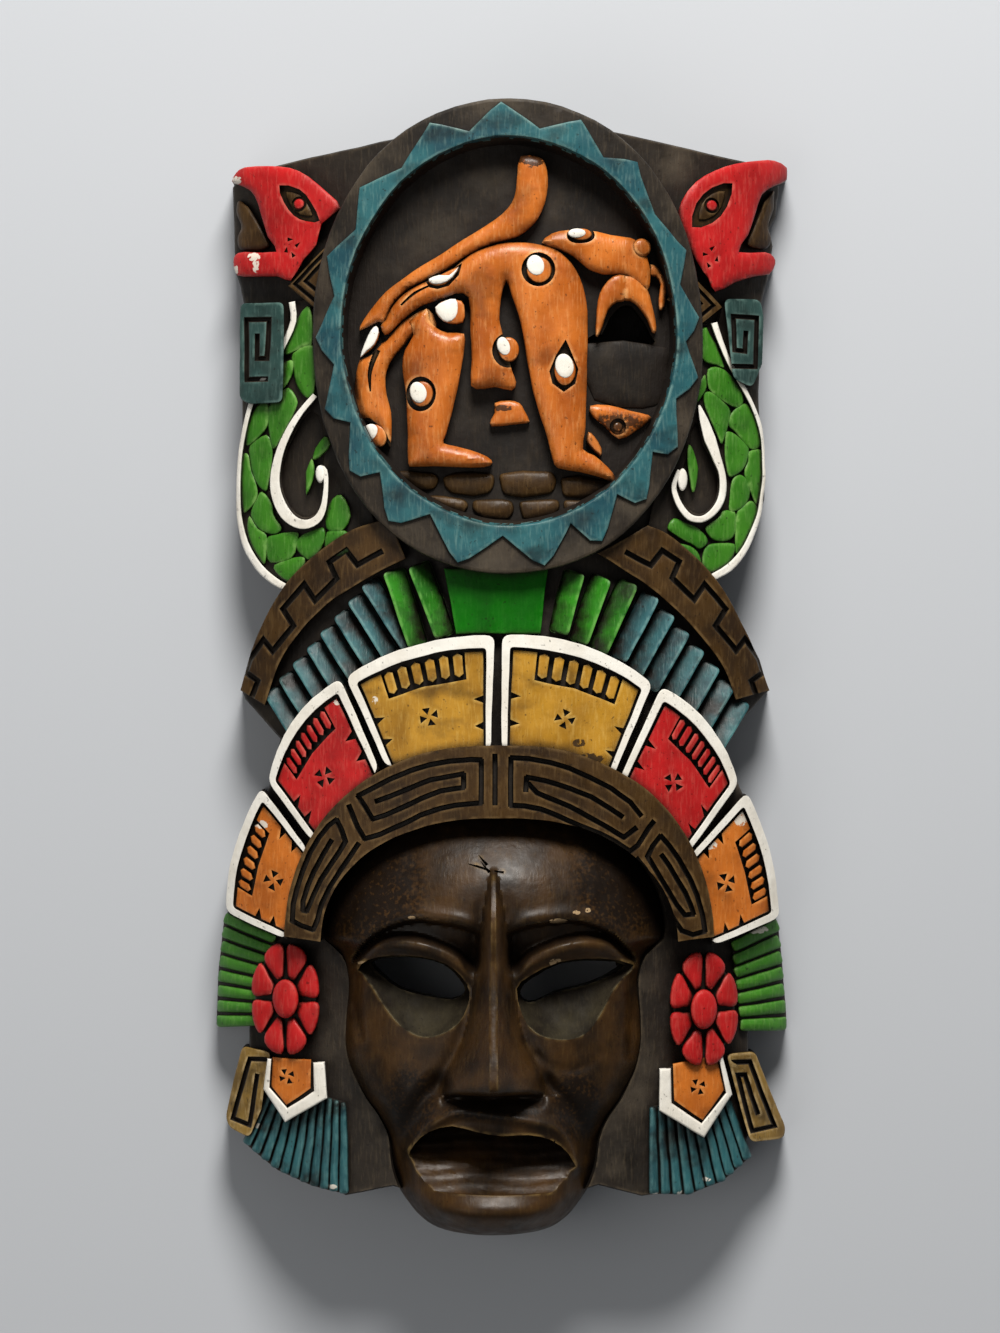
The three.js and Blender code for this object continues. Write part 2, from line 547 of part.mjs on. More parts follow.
function carvePanel(panel) {
  const [a, b, c, d] = panel.corners;
  const length = Math.hypot(b[0] - a[0], b[1] - a[1]);
  const depth = Math.hypot(d[0] - a[0], d[1] - a[1]);
  const at = (u, v) => patchPoint(panel, u, v);
  const arc = (v, from, to, parts) =>
    Array.from({ length: parts + 1 }, (_, i) => at(from + ((to - from) * i) / parts, v));
  raised.push(slab([...arc(0, 0, 1, 4), c, d].reverse(), LEVEL.panelRim, BACK));
  const side = RIM_ALONG / length;
  const outer = RIM_OUTER / depth;
  const bay = [...arc(outer, side, 1 - side, 4), at(1 - side, 1.02), at(side, 1.02)];
  cuts.push(slab(bay.reverse(), SKY, LEVEL.panelFloor));
  const left = side + FIELD_GAP / length;
  const right = 1 - left;
  const top = outer + FIELD_GAP / depth;
  const comb = top + 0.2;
  const nick = 3.4 / length;
  const notch = (edge, v, inwards) => [
    at(edge, v - 0.035),
    at(edge + inwards * nick, v),
    at(edge, v + 0.035),
  ];
  const combFrom = left + 0.13;
  const combTo = right - 0.13;
  const field = [
    at(left, top), at(combFrom, top), at(combFrom, comb), at(0.5, comb), at(combTo, comb), at(combTo, top),
    at(right, top), ...notch(right, 0.55, -1), ...notch(right, 0.76, -1), at(right, 1.01), at(left, 1.01),
    ...notch(left, 0.76, 1).reverse(), ...notch(left, 0.55, 1).reverse(),
  ];
  late.push(slab(field.reverse(), LEVEL.panelField));
  const pitch = (combTo - combFrom) / panel.bars;
  for (let i = 0; i < panel.bars; i += 1) {
    const from = combFrom + pitch * (i + 0.24);
    const to = combFrom + pitch * (i + 0.8);
    const bar = [at(from, comb - 0.03), at(to, comb - 0.03), at(to, top), at(from, top)];
    late.push(slab(bar, LEVEL.panelField));
  }
}

// The band over the brow, with four runs of squared spirals cut into it
function carveMeander() {
  const at = (degrees, across) => {
    const angle = (degrees * Math.PI) / 180;
    return [
      HOOD.x + (HOOD.outerX + (HOOD.innerX - HOOD.outerX) * across) * Math.cos(angle),
      HOOD.y + (HOOD.outerY + (HOOD.innerY - HOOD.outerY) * across) * Math.sin(angle),
    ];
  };
  const parts = 20;
  const step = (HOOD_END - HOOD_START) / parts;
  const arc = (across) => Array.from({ length: parts + 1 }, (_, i) => at(HOOD_START + step * i, across));
  raised.push(slab([...arc(0), ...arc(1).reverse()], LEVEL.meander));
  const floor = LEVEL.meander - GROOVE_DEPTH;
  const key = (from, to) => {
    const run = (u0, u1, v, parts) =>
      Array.from({ length: parts + 1 }, (_, i) => at(from + (to - from) * (u0 + ((u1 - u0) * i) / parts), v));
    const frame = [...run(0.02, 0.98, 0.14, 3), ...run(0.98, 0.02, 0.88, 3)];
    const outerTurn = [at(from, 0.3), ...run(0.08, 0.86, 0.7, 2)];
    const spiral = [...outerTurn, ...run(0.86, 0.18, 0.33, 2), ...run(0.18, 0.74, 0.51, 2)];
    cuts.push(groove(frame, floor), groove(spiral, floor, 1.2));
  };
  key(134, 96);
  key(44, 83);
  key(175, 137);
  key(5, 41);
  [90.8, 135.6, 42.4].forEach((degrees) => {
    cuts.push(groove([at(degrees, 0.02), at(degrees, 0.98)], floor));
  });
}

// An eight-petalled flower at each temple
const PETALS = 8;

function carveFlower(x, y, halfWidth, halfHeight) {
  for (let i = 0; i < PETALS; i += 1) {
    const angle = ((i + 0.5) / PETALS) * 2 * Math.PI;
    const petal = [
      x + halfWidth * 0.68 * Math.cos(angle),
      y + halfHeight * 0.68 * Math.sin(angle),
      halfHeight * 0.34,
      halfWidth * 0.36,
    ];
    const tilt = (Math.atan2(halfHeight * Math.sin(angle), halfWidth * Math.cos(angle)) * 180) / Math.PI;
    raised.push(slab(oval(...petal, 6, tilt), LEVEL.flower));
  }
  raised.push(slab(oval(x, y, halfWidth * 0.62, halfHeight * 0.62, 10), LEVEL.flower - 3));
  raised.push(slab(oval(x, y, halfWidth * 0.4, halfHeight * 0.37, 10), LEVEL.flowerCentre));
}

// Ribs of a small fan, from a line of roots to a line of tips
const FAN_ROOT = 0.12;

function carveFan({ roots, tips, count, tipWidth }) {
  const along = (line, t) => {
    const place = t * (line.length - 1);
    const i = Math.min(Math.floor(place), line.length - 2);
    return [0, 1].map((k) => line[i][k] + (line[i + 1][k] - line[i][k]) * (place - i));
  };
  raised.push(slab([...roots, ...[...tips].reverse()], LEVEL.fan - 2.5, BACK));
  const comb = [];
  for (let i = 0; i < count; i += 1) {
    const t = i / (count - 1);
    const [x, y] = along(tips, t);
    const [x0, y0] = along(tips, Math.max(0, t - 0.01));
    const [x1, y1] = along(tips, Math.min(1, t + 0.01));
    const reach = tipWidth / 2 / Math.hypot(x1 - x0, y1 - y0);
    comb.push([x - (x1 - x0) * reach, y - (y1 - y0) * reach], [x + (x1 - x0) * reach, y + (y1 - y0) * reach]);
    if (i + 1 === count) break;
    const between = t + 0.5 / (count - 1);
    const root = along(roots, between);
    const tip = along(tips, between);
    comb.push([0, 1].map((k) => root[k] + (tip[k] - root[k]) * FAN_ROOT));
  }
  raised.push(slab([...comb, ...[...roots].reverse()], LEVEL.fan, BACK));
}

const FANS = [
  {
    roots: [[-90, -108], [-95, -140.5]],
    tips: [[-111.6, -99.8], [-113.8, -120], [-114.6, -141.6]],
    count: 8, tipWidth: 4.4,
  },
  {
    roots: [[92, -111], [95, -142.6]],
    tips: [[111, -102.4], [113.2, -122], [114.6, -142.8]],
    count: 7, tipWidth: 4.8,
  },
  {
    roots: [[-90, -165], [-63, -172]],
    tips: [[-102.4, -190.6], [-89.5, -200.6], [-76, -206], [-62.6, -209]],
    count: 11, tipWidth: 3.8,
  },
  {
    roots: [[60, -174], [89, -168]],
    tips: [[61, -209], [75, -209.4], [88, -205], [98.6, -196.4]],
    count: 10, tipWidth: 3.9,
  },
];

// A five-sided pendant with a thick rim along its lower edges
function carvePendant(rim, field) {
  raised.push(slab(field, LEVEL.pendantRim - 2));
  raised.push(slab(strip(rim, 3), LEVEL.pendantRim));
}

// The face: height of the surface at a distance from its axis and a place down it

function faceHeight(offset, y) {
  const side = Math.abs(offset);
  const across = Math.min(1, side / stationed(y, FACE_WIDTH));
  const edge = stationed(y, FACE_SIDE);
  let z = edge + (stationed(y, FACE_MIDDLE) - edge) * (1 - across ** FACE_ROUND) ** FACE_SWELL;
  const brow = stationed(side, BROW_LINE);
  const browShare = smoothstep(4, 12, side) * (1 - smoothstep(50, 60, side));
  z += browShare * BROW_ROLL.height * bump(y, brow + BROW_ROLL.above, BROW_ROLL.width);
  z -= browShare * BROW_CUT.depth * bump(y, brow - BROW_CUT.below, BROW_CUT.width);
  z += browShare * LID_ROLL.height * bump(y, brow - LID_ROLL.below, LID_ROLL.width);
  const half = stationed(y, NOSE_HALF_WIDTH);
  const flank = Math.max(0, 1 - Math.max(0, side / half - NOSE_RIDGE_SHARE) / (1 - NOSE_RIDGE_SHARE));
  if (y > NOSE_FOOT && y < NOSE_TOP) z += stationed(y, NOSE_HEIGHT) * flank;
  const lipTop = UPPER_LIP.y - UPPER_LIP.droop * (side / UPPER_LIP.halfWidth) ** UPPER_LIP.power;
  const upperShare = 1 - smoothstep(34, 40, side);
  z += upperShare * UPPER_LIP.height * bump(y, lipTop - UPPER_LIP.above, UPPER_LIP.width);
  z += (1 - smoothstep(26, 38, side)) * LOWER_LIP.height * bump(y, LOWER_LIP.y, LOWER_LIP.width);
  const creaseShare = smoothstep(-216, -206, y) * (1 - smoothstep(-172, -166, y));
  z -= creaseShare * CREASE.depth * bump(side, stationed(y, CREASE.line), CREASE.width);
  return z;
}

function faceRows() {
  const rows = [FACE_TOP];
  FACE_ROWS.forEach(({ until, rows: count }) => {
    const from = rows[rows.length - 1];
    for (let i = 1; i <= count; i += 1) rows.push(from + ((until - from) * i) / count);
  });
  return rows;
}

// A closed block under a grid of points, with a flat back that has corners only round its edge
function heightField(grid) {
  const rows = grid.length;
  const columns = grid[0].length;
  const points = grid.flat();
  const at = (row, column) => row * columns + column;
  const faces = [];
  for (let r = 0; r + 1 < rows; r += 1) {
    for (let c = 0; c + 1 < columns; c += 1) {
      faces.push([at(r, c), at(r + 1, c), at(r, c + 1)], [at(r, c + 1), at(r + 1, c), at(r + 1, c + 1)]);
    }
  }
  const edge = [];
  for (let r = 0; r < rows; r += 1) edge.push(at(r, 0));
  for (let c = 1; c < columns; c += 1) edge.push(at(rows - 1, c));
  for (let r = rows - 2; r >= 0; r -= 1) edge.push(at(r, columns - 1));
  for (let c = columns - 2; c > 0; c -= 1) edge.push(at(0, c));
  const below = edge.map((index) => points.push([points[index][0], points[index][1], 0]) - 1);
  edge.forEach((index, i) => {
    const next = (i + 1) % edge.length;
    faces.push([index, below[i], edge[next]], [edge[next], below[i], below[next]]);
  });
  const loop = below.map((index) => new THREE.Vector2(points[index][0], points[index][1]));
  const underside = THREE.ShapeUtils.triangulateShape(loop, []);
  underside.forEach(([a, b, c]) => faces.push([below[c], below[b], below[a]]));
  const geometry = new THREE.BufferGeometry();
  geometry.setAttribute("position", new THREE.Float32BufferAttribute(points.flat(), 3));
  geometry.setIndex(faces.flat());
  return solidOf(geometry);
}

function faceBlock() {
  const columns = Array.from({ length: FACE_COLUMNS + 1 }, (_, i) => (2 * i) / FACE_COLUMNS - 1);
  const noseShare = (2 * NOSE_COLUMNS) / FACE_COLUMNS;
  const grid = faceRows().map((y) => {
    const width = stationed(y, FACE_WIDTH);
    const nose = Math.min(stationed(y, NOSE_HALF_WIDTH), width * noseShare);
    return columns.map((u) => {
      const share = Math.abs(u);
      const onCheek = nose + ((share - noseShare) / (1 - noseShare)) * (width - nose);
      const offset = Math.sign(u) * (share < noseShare ? (share / noseShare) * nose : onCheek);
      return [FACE_AXIS + offset, y, faceHeight(offset, y)];
    });
  });
  return heightField(grid);
}

function faceOutline(share) {
  const rows = faceRows().filter((_, i) => i % 2 === 0);
  const side = (sign) => rows.map((y) => [FACE_AXIS + sign * share * stationed(y, FACE_WIDTH), y]);
  return [...side(-1), ...side(1).reverse()];
}

// Eye sockets are scooped: shallow at the cheek and deep under the lid, where they open right through
const SOCKET = { top: -114.5, deepest: 50, rise: 0.62 };
const SLIT_FOOT = 5;
const EYES = [
  {
    socket: [
      [-57, -119.6], [-52.7, -115.2], [-43.3, -113.3], [-32.2, -113.8], [-22.4, -116.3], [-16.1, -121.2],
      [-12.6, -127.5],
      [-13.6, -134], [-16.9, -140.2], [-22.4, -145.6], [-29, -149], [-35.7, -148.6], [-43, -144.3],
      [-49.3, -135.8],
      [-54, -126.9],
    ],
    slit: [
      [-49, -119], [-42.9, -117], [-32.2, -116.4], [-23, -119], [-17.6, -124], [-19.6, -129.6],
      [-30.6, -128.6], [-40.1, -126], [-46, -122],
    ],
  },
  {
    socket: [
      [6, -126.3], [11.1, -121.2], [23.1, -115.5], [38.9, -114.4], [52.5, -117.6], [48.7, -122.8],
      [46.3, -128.2],
      [43.2, -138.3], [38.9, -145.9], [32.3, -150], [23.1, -149.3], [13.6, -144.9], [8.1, -136.4],
    ],
    slit: [
      [8.6, -127], [13, -122.4], [23.7, -117.8], [38.2, -117], [46.4, -119], [39.8, -122.8], [29.4, -126.2],
      [20.9, -128], [13.6, -131.4],
    ],
  },
];

function carveEyes(face) {
  const rise = (x, y) => (SOCKET.top - y) * SOCKET.rise;
  const scoops = EYES.map(({ socket }) => slab(socket, SKY, SOCKET.deepest, rise));
  const slits = EYES.map(({ slit }) => slab(slit, SKY, SLIT_FOOT));
  return face.subtract(joined([...scoops, ...slits]));
}

// The mouth is a deep open hollow with a down-turned arch above it
const MOUTH_FLOOR = 56;
const MOUTH = [
  [-38, -204], [-37.2, -194.2], [-34.4, -187.9], [-28.8, -182.8], [-19.6, -180.3], [-10, -182.4],
  [0.2, -184.2],
  [10.5, -183.8], [19.6, -186], [26.6, -192], [30.6, -200], [32.4, -205.3], [24.6, -206.6], [10.5, -207.4],
  [-17.6, -207.2], [-30.4, -205.6],
];

// The back: a hollow behind the face and a gouged pocket that takes a nail
const HOLLOW = { x: -3, y: -138, halfWidth: 52, halfHeight: 66, depth: 44, around: 18, down: 10 };
const HANG_POCKET = { y: 168, halfWidth: 14, halfHeight: 8, depth: 10 };

function backCuts() {
  const hollow = new THREE.SphereGeometry(1, HOLLOW.around, HOLLOW.down);
  hollow.rotateX(Math.PI / 2);
  hollow.scale(HOLLOW.halfWidth, HOLLOW.halfHeight, HOLLOW.depth);
  hollow.translate(HOLLOW.x, HOLLOW.y, 0);
  const { y, halfWidth, halfHeight, depth } = HANG_POCKET;
  return [solidOf(hollow), slab(oval(0, y, halfWidth, halfHeight, 10, 0, 0.8), depth, -depth)];
}

// The round of the block is added to the flat relief once it has been sliced across

function crownAt(x) {
  const round = (at) => Math.sqrt(1 - Math.min(1, at / LOG_HALF_WIDTH) ** 2);
  return LOG_RISE * Math.max(0, round(Math.abs(x)) - round(BLOCK_HALF_WIDTH));
}

// How far a point of the flat relief moves out when the block's round is added
function lift([x, , z]) {
  return crownAt(x) * Math.min(1, z / BOARD);
}

// Edges that the round would cut across too straight are halved, until the surface can bend
function bendable(mesh) {
  const points = [];
  for (let i = 0; i < mesh.vertProperties.length; i += mesh.numProp) {
    points.push([...mesh.vertProperties.slice(i, i + 3)]);
  }
  let triangles = [];
  for (let i = 0; i < mesh.triVerts.length; i += 3) triangles.push([...mesh.triVerts.slice(i, i + 3)]);
  let halved = true;
  while (halved) {
    halved = false;
    const middles = new Map();
    const middle = (a, b) => {
      const key = a < b ? `${a} ${b}` : `${b} ${a}`;
      if (!middles.has(key)) {
        const centre = [0, 1, 2].map((k) => (points[a][k] + points[b][k]) / 2);
        const straight = (crownAt(points[a][0]) + crownAt(points[b][0])) / 2;
        const raisedShare = Math.min(1, Math.max(points[a][2], points[b][2]) / BOARD);
        const far = Math.abs(crownAt(centre[0]) - straight) * raisedShare > BEND_ERROR;
        middles.set(key, far ? points.push(centre) - 1 : -1);
        halved = halved || far;
      }
      return middles.get(key);
    };
    triangles = triangles.flatMap(([a, b, c]) => {
      const [ab, bc, ca] = [middle(a, b), middle(b, c), middle(c, a)];
      if (ab < 0 && bc < 0 && ca < 0) return [[a, b, c]];
      if (ab >= 0 && bc >= 0 && ca >= 0) return [[a, ab, ca], [ab, b, bc], [ca, bc, c], [ab, bc, ca]];
      const turned = { 1: [a, b, c, ab, bc], 2: [b, c, a, bc, ca], 4: [c, a, b, ca, ab] };
      const kind = (ab >= 0 ? 1 : 0) + (bc >= 0 ? 2 : 0) + (ca >= 0 ? 4 : 0);
      if (turned[kind]) {
        const [p, q, r, pq] = turned[kind];
        return [[p, pq, r], [pq, q, r]];
      }
      const [p, q, r, pq, qr] = turned[{ 3: 1, 6: 2, 5: 4 }[kind]];
      return [[pq, q, qr], [p, pq, qr], [p, qr, r]];
    });
  }
  return { points, triangles };
}

function rounded(relief) {
  const { points, triangles } = bendable(relief.getMesh());
  const bent = points.flatMap((point) => [point[0], point[1], point[2] + lift(point)]);
  return new wasm.Manifold(
    new wasm.Mesh({
      numProp: 3,
      vertProperties: new Float32Array(bent),
      triVerts: new Uint32Array(triangles.flat()),
    }),
  );
}

// Points that the surface can do without are taken away: each moves to a neighbour, where no facet
// round it then leaves the surface by more than a small distance or turns over
const SURFACE_ERROR = 0.21;
const THINNEST = 0.05;
const TURN_COSINE = 0.96;
const PASSES = 8;

function facetOf(corners) {
  const [p, q, r] = corners.map((corner) => new THREE.Vector3(...corner));
  const normal = new THREE.Vector3().subVectors(q, p).cross(new THREE.Vector3().subVectors(r, p));
  const size = normal.length();
  const longest = Math.max(p.distanceTo(q), q.distanceTo(r), r.distanceTo(p));
  return { normal: normal.divideScalar(size || 1), height: size / longest };
}

function lightened(solid) {
  const mesh = solid.getMesh();
  const points = [];
  for (let i = 0; i < mesh.vertProperties.length; i += mesh.numProp) {
    points.push([...mesh.vertProperties.slice(i, i + 3)]);
  }
  const facets = [];
  for (let i = 0; i < mesh.triVerts.length; i += 3) facets.push([...mesh.triVerts.slice(i, i + 3)]);
  const around = points.map(() => new Set());
  facets.forEach((corners, i) => corners.forEach((v) => around[v].add(i)));
  const drift = points.map(() => 0);
  const neighbours = (v) => new Set([...around[v]].flatMap((i) => facets[i]).filter((w) => w !== v));
  const far = (v, u) => Math.hypot(...points[v].map((value, k) => value - points[u][k]));

  const moved = (v, u) => {
    const linked = neighbours(u);
    if ([...neighbours(v)].filter((w) => linked.has(w)).length !== 2) return Infinity;
    const before = [...around[v]].map((i) => [i, facetOf(facets[i].map((w) => points[w]))]);
    const thinnest = Math.min(THINNEST, ...before.map(([, { height }]) => height));
    const sure = before.filter(([, { height }]) => height > THINNEST);
    let worst = 0;
    for (const [i, old] of before) {
      if (facets[i].includes(u)) continue;
      const after = facetOf(facets[i].map((w) => points[w === v ? u : w]));
      if (after.height < thinnest) return Infinity;
      const like = old.height > THINNEST ? [[i, old]] : sure;
      if (!like.some(([, { normal }]) => normal.dot(after.normal) > TURN_COSINE)) return Infinity;
      const away = new THREE.Vector3(...points[v].map((value, k) => value - points[u][k]));
      worst = Math.max(worst, Math.abs(away.dot(after.normal)));
    }
    return worst + drift[v];
  };

  for (let pass = 0; pass < PASSES; pass += 1) {
    for (let v = 0; v < points.length; v += 1) {
      const ends = [...neighbours(v)].sort((a, b) => far(v, a) - far(v, b));
      const u = ends.find((end) => moved(v, end) < SURFACE_ERROR);
      if (u === undefined) continue;
      drift[u] = Math.max(drift[u], moved(v, u));
      [...around[v]].forEach((i) => {
        if (facets[i].includes(u)) {
          facets[i].forEach((w) => around[w].delete(i));
          facets[i] = [];
        } else {
          facets[i] = facets[i].map((w) => (w === v ? u : w));
          around[u].add(i);
        }
      });
      around[v].clear();
    }
  }
  return new wasm.Manifold(
    new wasm.Mesh({
      numProp: 3,
      vertProperties: new Float32Array(points.flat()),
      triVerts: new Uint32Array(facets.flat()),
    }),
  );
}

// The whole carving

function carvedMask() {
  carveBoard();
  carveDisc();
  carveHead(LEFT_HEAD, LEFT_EYE, [-80.6, 185]);
  carveHead(RIGHT_HEAD, RIGHT_EYE, [83.8, 184.4]);
  carveSpiralBlock(
    [[-104.6, 146.4], [-104.6, 108], [-100, 106], [-87, 106], [-86.6, 146.4]],
    [[-93, 115.6], [-101.6, 115.6], [-101.8, 139.6], [-92.6, 139.6], [-93.4, 125], [-97.4, 125],
    [-97.4, 133]],
    LEVEL.spiralBlock,
  );
  carveSpiralBlock(
    [[89, 147.6], [103.4, 147.6], [104.6, 141], [104, 122], [100, 112.6], [92, 116]],
    [[91.6, 120.8], [101.2, 120.8], [101.8, 140.4], [92.4, 140.8], [92.8, 127.2], [97, 126.8], [97.4, 135]],
    LEVEL.spiralBlock,
  );
  carveSerpent(LEFT_SERPENT);
  carveSerpent(RIGHT_SERPENT);
  carveDiamond([[-68.6, 168.8], [-85, 152.8], [-73.4, 142.8]]);
  carveDiamond([[76.6, 156.4], [88.2, 144.4], [79.4, 137.2]].reverse());
  carveFret(LEFT_FRET.outer, LEFT_FRET.inner);
  carveFret(RIGHT_FRET.outer, RIGHT_FRET.inner);
  RIBS.forEach(carveRibs);
  raised.push(slab([[-22.6, 40], [18.6, 40], [15.4, 14], [-17.8, 14]], LEVEL.plate));
  PANELS.forEach(carvePanel);
  carveMeander();
  carveFlower(-86.2, -131.4, 14, 22.6);
  carveFlower(80.6, -135.4, 14, 23);
  FANS.forEach(carveFan);
  carveSpiralBlock(
    [[-103.8, -151], [-92, -153], [-96, -176], [-101, -187.6], [-109.6, -184], [-111, -180]],
    [[-93.6, -156], [-100.6, -156], [-108, -180.4], [-101, -182.6], [-99, -171], [-97.6, -162]],
    LEVEL.keyBlock,
  );
  carveSpiralBlock(
    [[89.8, -153.6], [101.4, -153.2], [114.2, -184], [113.4, -188.6], [99.8, -189.2]],
    [[92, -157], [99.4, -157], [109.6, -183], [100.6, -184.6], [94.6, -162], [97.4, -162], [103, -178]],
    LEVEL.keyBlock,
  );
  carvePendant(
    [[-92.6, -152], [-94.4, -166], [-86.4, -178.6], [-71, -168.6], [-72, -156]],
    [[-92, -150], [-94, -166], [-86.4, -178], [-70, -168.6], [-72, -150]],
  );
  carvePendant(
    [[64.6, -159], [64.4, -175.4], [80.6, -184.6], [91.6, -169], [87, -154]],
    [[65, -154], [64.4, -175], [80.6, -184], [91.6, -169], [87, -154]],
  );

  const relief = joined(raised).subtract(joined(cuts)).add(joined([...late, ...carveCat()]));
  const rings = SPOTS.map((spot) => slab(spotOutline(spot, 1.6), SKY, spot.level - GROOVE_DEPTH));
  const buttons = SPOTS.map((spot) => slab(spotOutline(spot, 0), spot.level + 0.4));
  const spotted = relief.subtract(joined(rings)).add(joined(buttons));
  const opened = spotted.subtract(slab(faceOutline(0.97), SKY, -SKY));

  const face = carveEyes(faceBlock()).subtract(slab(MOUTH, SKY, MOUTH_FLOOR));
  return lightened(rounded(opened).add(face).subtract(joined(backCuts())));
}

function meshOf(solid, name, material) {
  const { vertProperties, triVerts, numProp } = solid.getMesh();
  const place = new Float32Array((vertProperties.length / numProp) * 3);
  for (let i = 0; i * numProp < vertProperties.length; i += 1) {
    place.set(vertProperties.subarray(i * numProp, i * numProp + 3), i * 3);
  }
  const geometry = new THREE.BufferGeometry();
  geometry.setAttribute("position", new THREE.BufferAttribute(place, 3));
  geometry.setIndex(new THREE.BufferAttribute(new Uint32Array(triVerts), 1));
  geometry.computeVertexNormals();
  const mesh = new THREE.Mesh(geometry, material);
  mesh.name = name;
  return mesh;
}

const group = new THREE.Group();
group.add(meshOf(carvedMask(), "carved_mask", FACE_PAINT));

export default group;
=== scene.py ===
import math

import bmesh
import bpy
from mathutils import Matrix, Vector, noise


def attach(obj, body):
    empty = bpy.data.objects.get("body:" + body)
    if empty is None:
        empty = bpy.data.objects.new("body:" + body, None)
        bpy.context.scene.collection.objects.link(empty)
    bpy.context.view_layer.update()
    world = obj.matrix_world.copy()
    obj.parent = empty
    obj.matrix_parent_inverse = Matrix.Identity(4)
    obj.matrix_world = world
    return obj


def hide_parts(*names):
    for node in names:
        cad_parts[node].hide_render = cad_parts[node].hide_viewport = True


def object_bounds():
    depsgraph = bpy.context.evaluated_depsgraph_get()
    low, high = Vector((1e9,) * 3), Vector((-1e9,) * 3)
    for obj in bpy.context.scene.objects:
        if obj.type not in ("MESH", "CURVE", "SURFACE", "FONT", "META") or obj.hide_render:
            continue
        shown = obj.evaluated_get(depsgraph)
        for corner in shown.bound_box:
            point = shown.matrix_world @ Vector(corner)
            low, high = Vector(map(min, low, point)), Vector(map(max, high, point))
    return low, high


# A carved and painted wooden wall mask that lies on its flat back: +Y is towards the top of the
# headdress and +Z towards the viewer. Outlines are in millimetres, on the flat relief; the round
# of the block is added last, as in the solid.

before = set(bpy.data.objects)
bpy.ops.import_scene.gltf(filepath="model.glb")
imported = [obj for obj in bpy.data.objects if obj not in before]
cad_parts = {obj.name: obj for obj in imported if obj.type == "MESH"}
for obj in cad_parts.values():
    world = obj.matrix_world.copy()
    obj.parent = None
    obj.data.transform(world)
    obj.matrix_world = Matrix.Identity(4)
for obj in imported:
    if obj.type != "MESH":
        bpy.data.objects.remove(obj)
cad_low, cad_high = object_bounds()

MM = 0.001
# The round of the block, in mm: half widths of the log and of the block, and the rise of the log
LOG_HALF_WIDTH = 122
BLOCK_HALF_WIDTH = 115
LOG_RISE = 70
# The top of the board, and where the carved forms start within it
BOARD = 8
IN_BOARD = 3
# A piece's materials, in their order
PAINT, STAIN, BARE = 0, 1, 2
# Points nearer than this are one, in mm; edges sharper than this are shaded as arrises
TOUCHING, CREASE = 1e-4, math.radians(38)
# How far cutters reach: under the board, well under it, over the relief and over the nose
UNDER, FAR_UNDER, OVER, OVER_NOSE = -5, -20, 60, 130

# Tops of the carved forms over the flat back, in mm, before the round of the block lifts them
LEVEL = {
    "curl_floor": 8, "recess": 8.8, "body": 10.5, "fan": 12, "rock": 11.5, "scale": 13.5, "ray": 13,
    "plate": 14, "key_block": 14, "border": 15, "diamond": 15, "fret": 16, "curl": 16.5,
    "pendant_rim": 17, "spiral_block": 17, "head": 18, "flower": 19, "rim": 22, "tooth": 23.5,
    "panel_field": 20, "panel_floor": 16.5, "panel_rim": 22, "flower_centre": 22.5, "meander": 26,
}

# Some outlines are drawn on sheets: the size of a sheet's unit in mm, and its top left corner
SHEET = (0.4, -200.6, 267.6)
CAT_SHEET = (0.1093, -72.6, 231.6)


def drawn(points, sheet=SHEET):
    unit, left, top = sheet
    return [(left + x * unit, top - y * unit) for x, y in points]


# Materials

# Dark brown of the wash in pores, grooves and smoky patches, also the tone of painted shade in hollows and on
# the face
WASH_AND_SHADE = "#130C07"


def linear(code):
    shares = [int(code[i:i + 2], 16) / 255 for i in (1, 3, 5)]
    return [c / 12.92 if c <= 0.04045 else ((c + 0.055) / 1.055) ** 2.4 for c in shares] + [1.0]


def cells(size):
    """The noise scale that gives marks of a size in millimetres."""
    return 1 / (size * MM)


def add(tree, kind, settings=None, inputs=None):
    made = tree.nodes.new(kind)
    for name, value in (settings or {}).items():
        setattr(made, name, value)
    for name, value in (inputs or {}).items():
        if isinstance(value, bpy.types.NodeSocket):
            tree.links.new(value, made.inputs[name])
        else:
            made.inputs[name].default_value = value
    return made
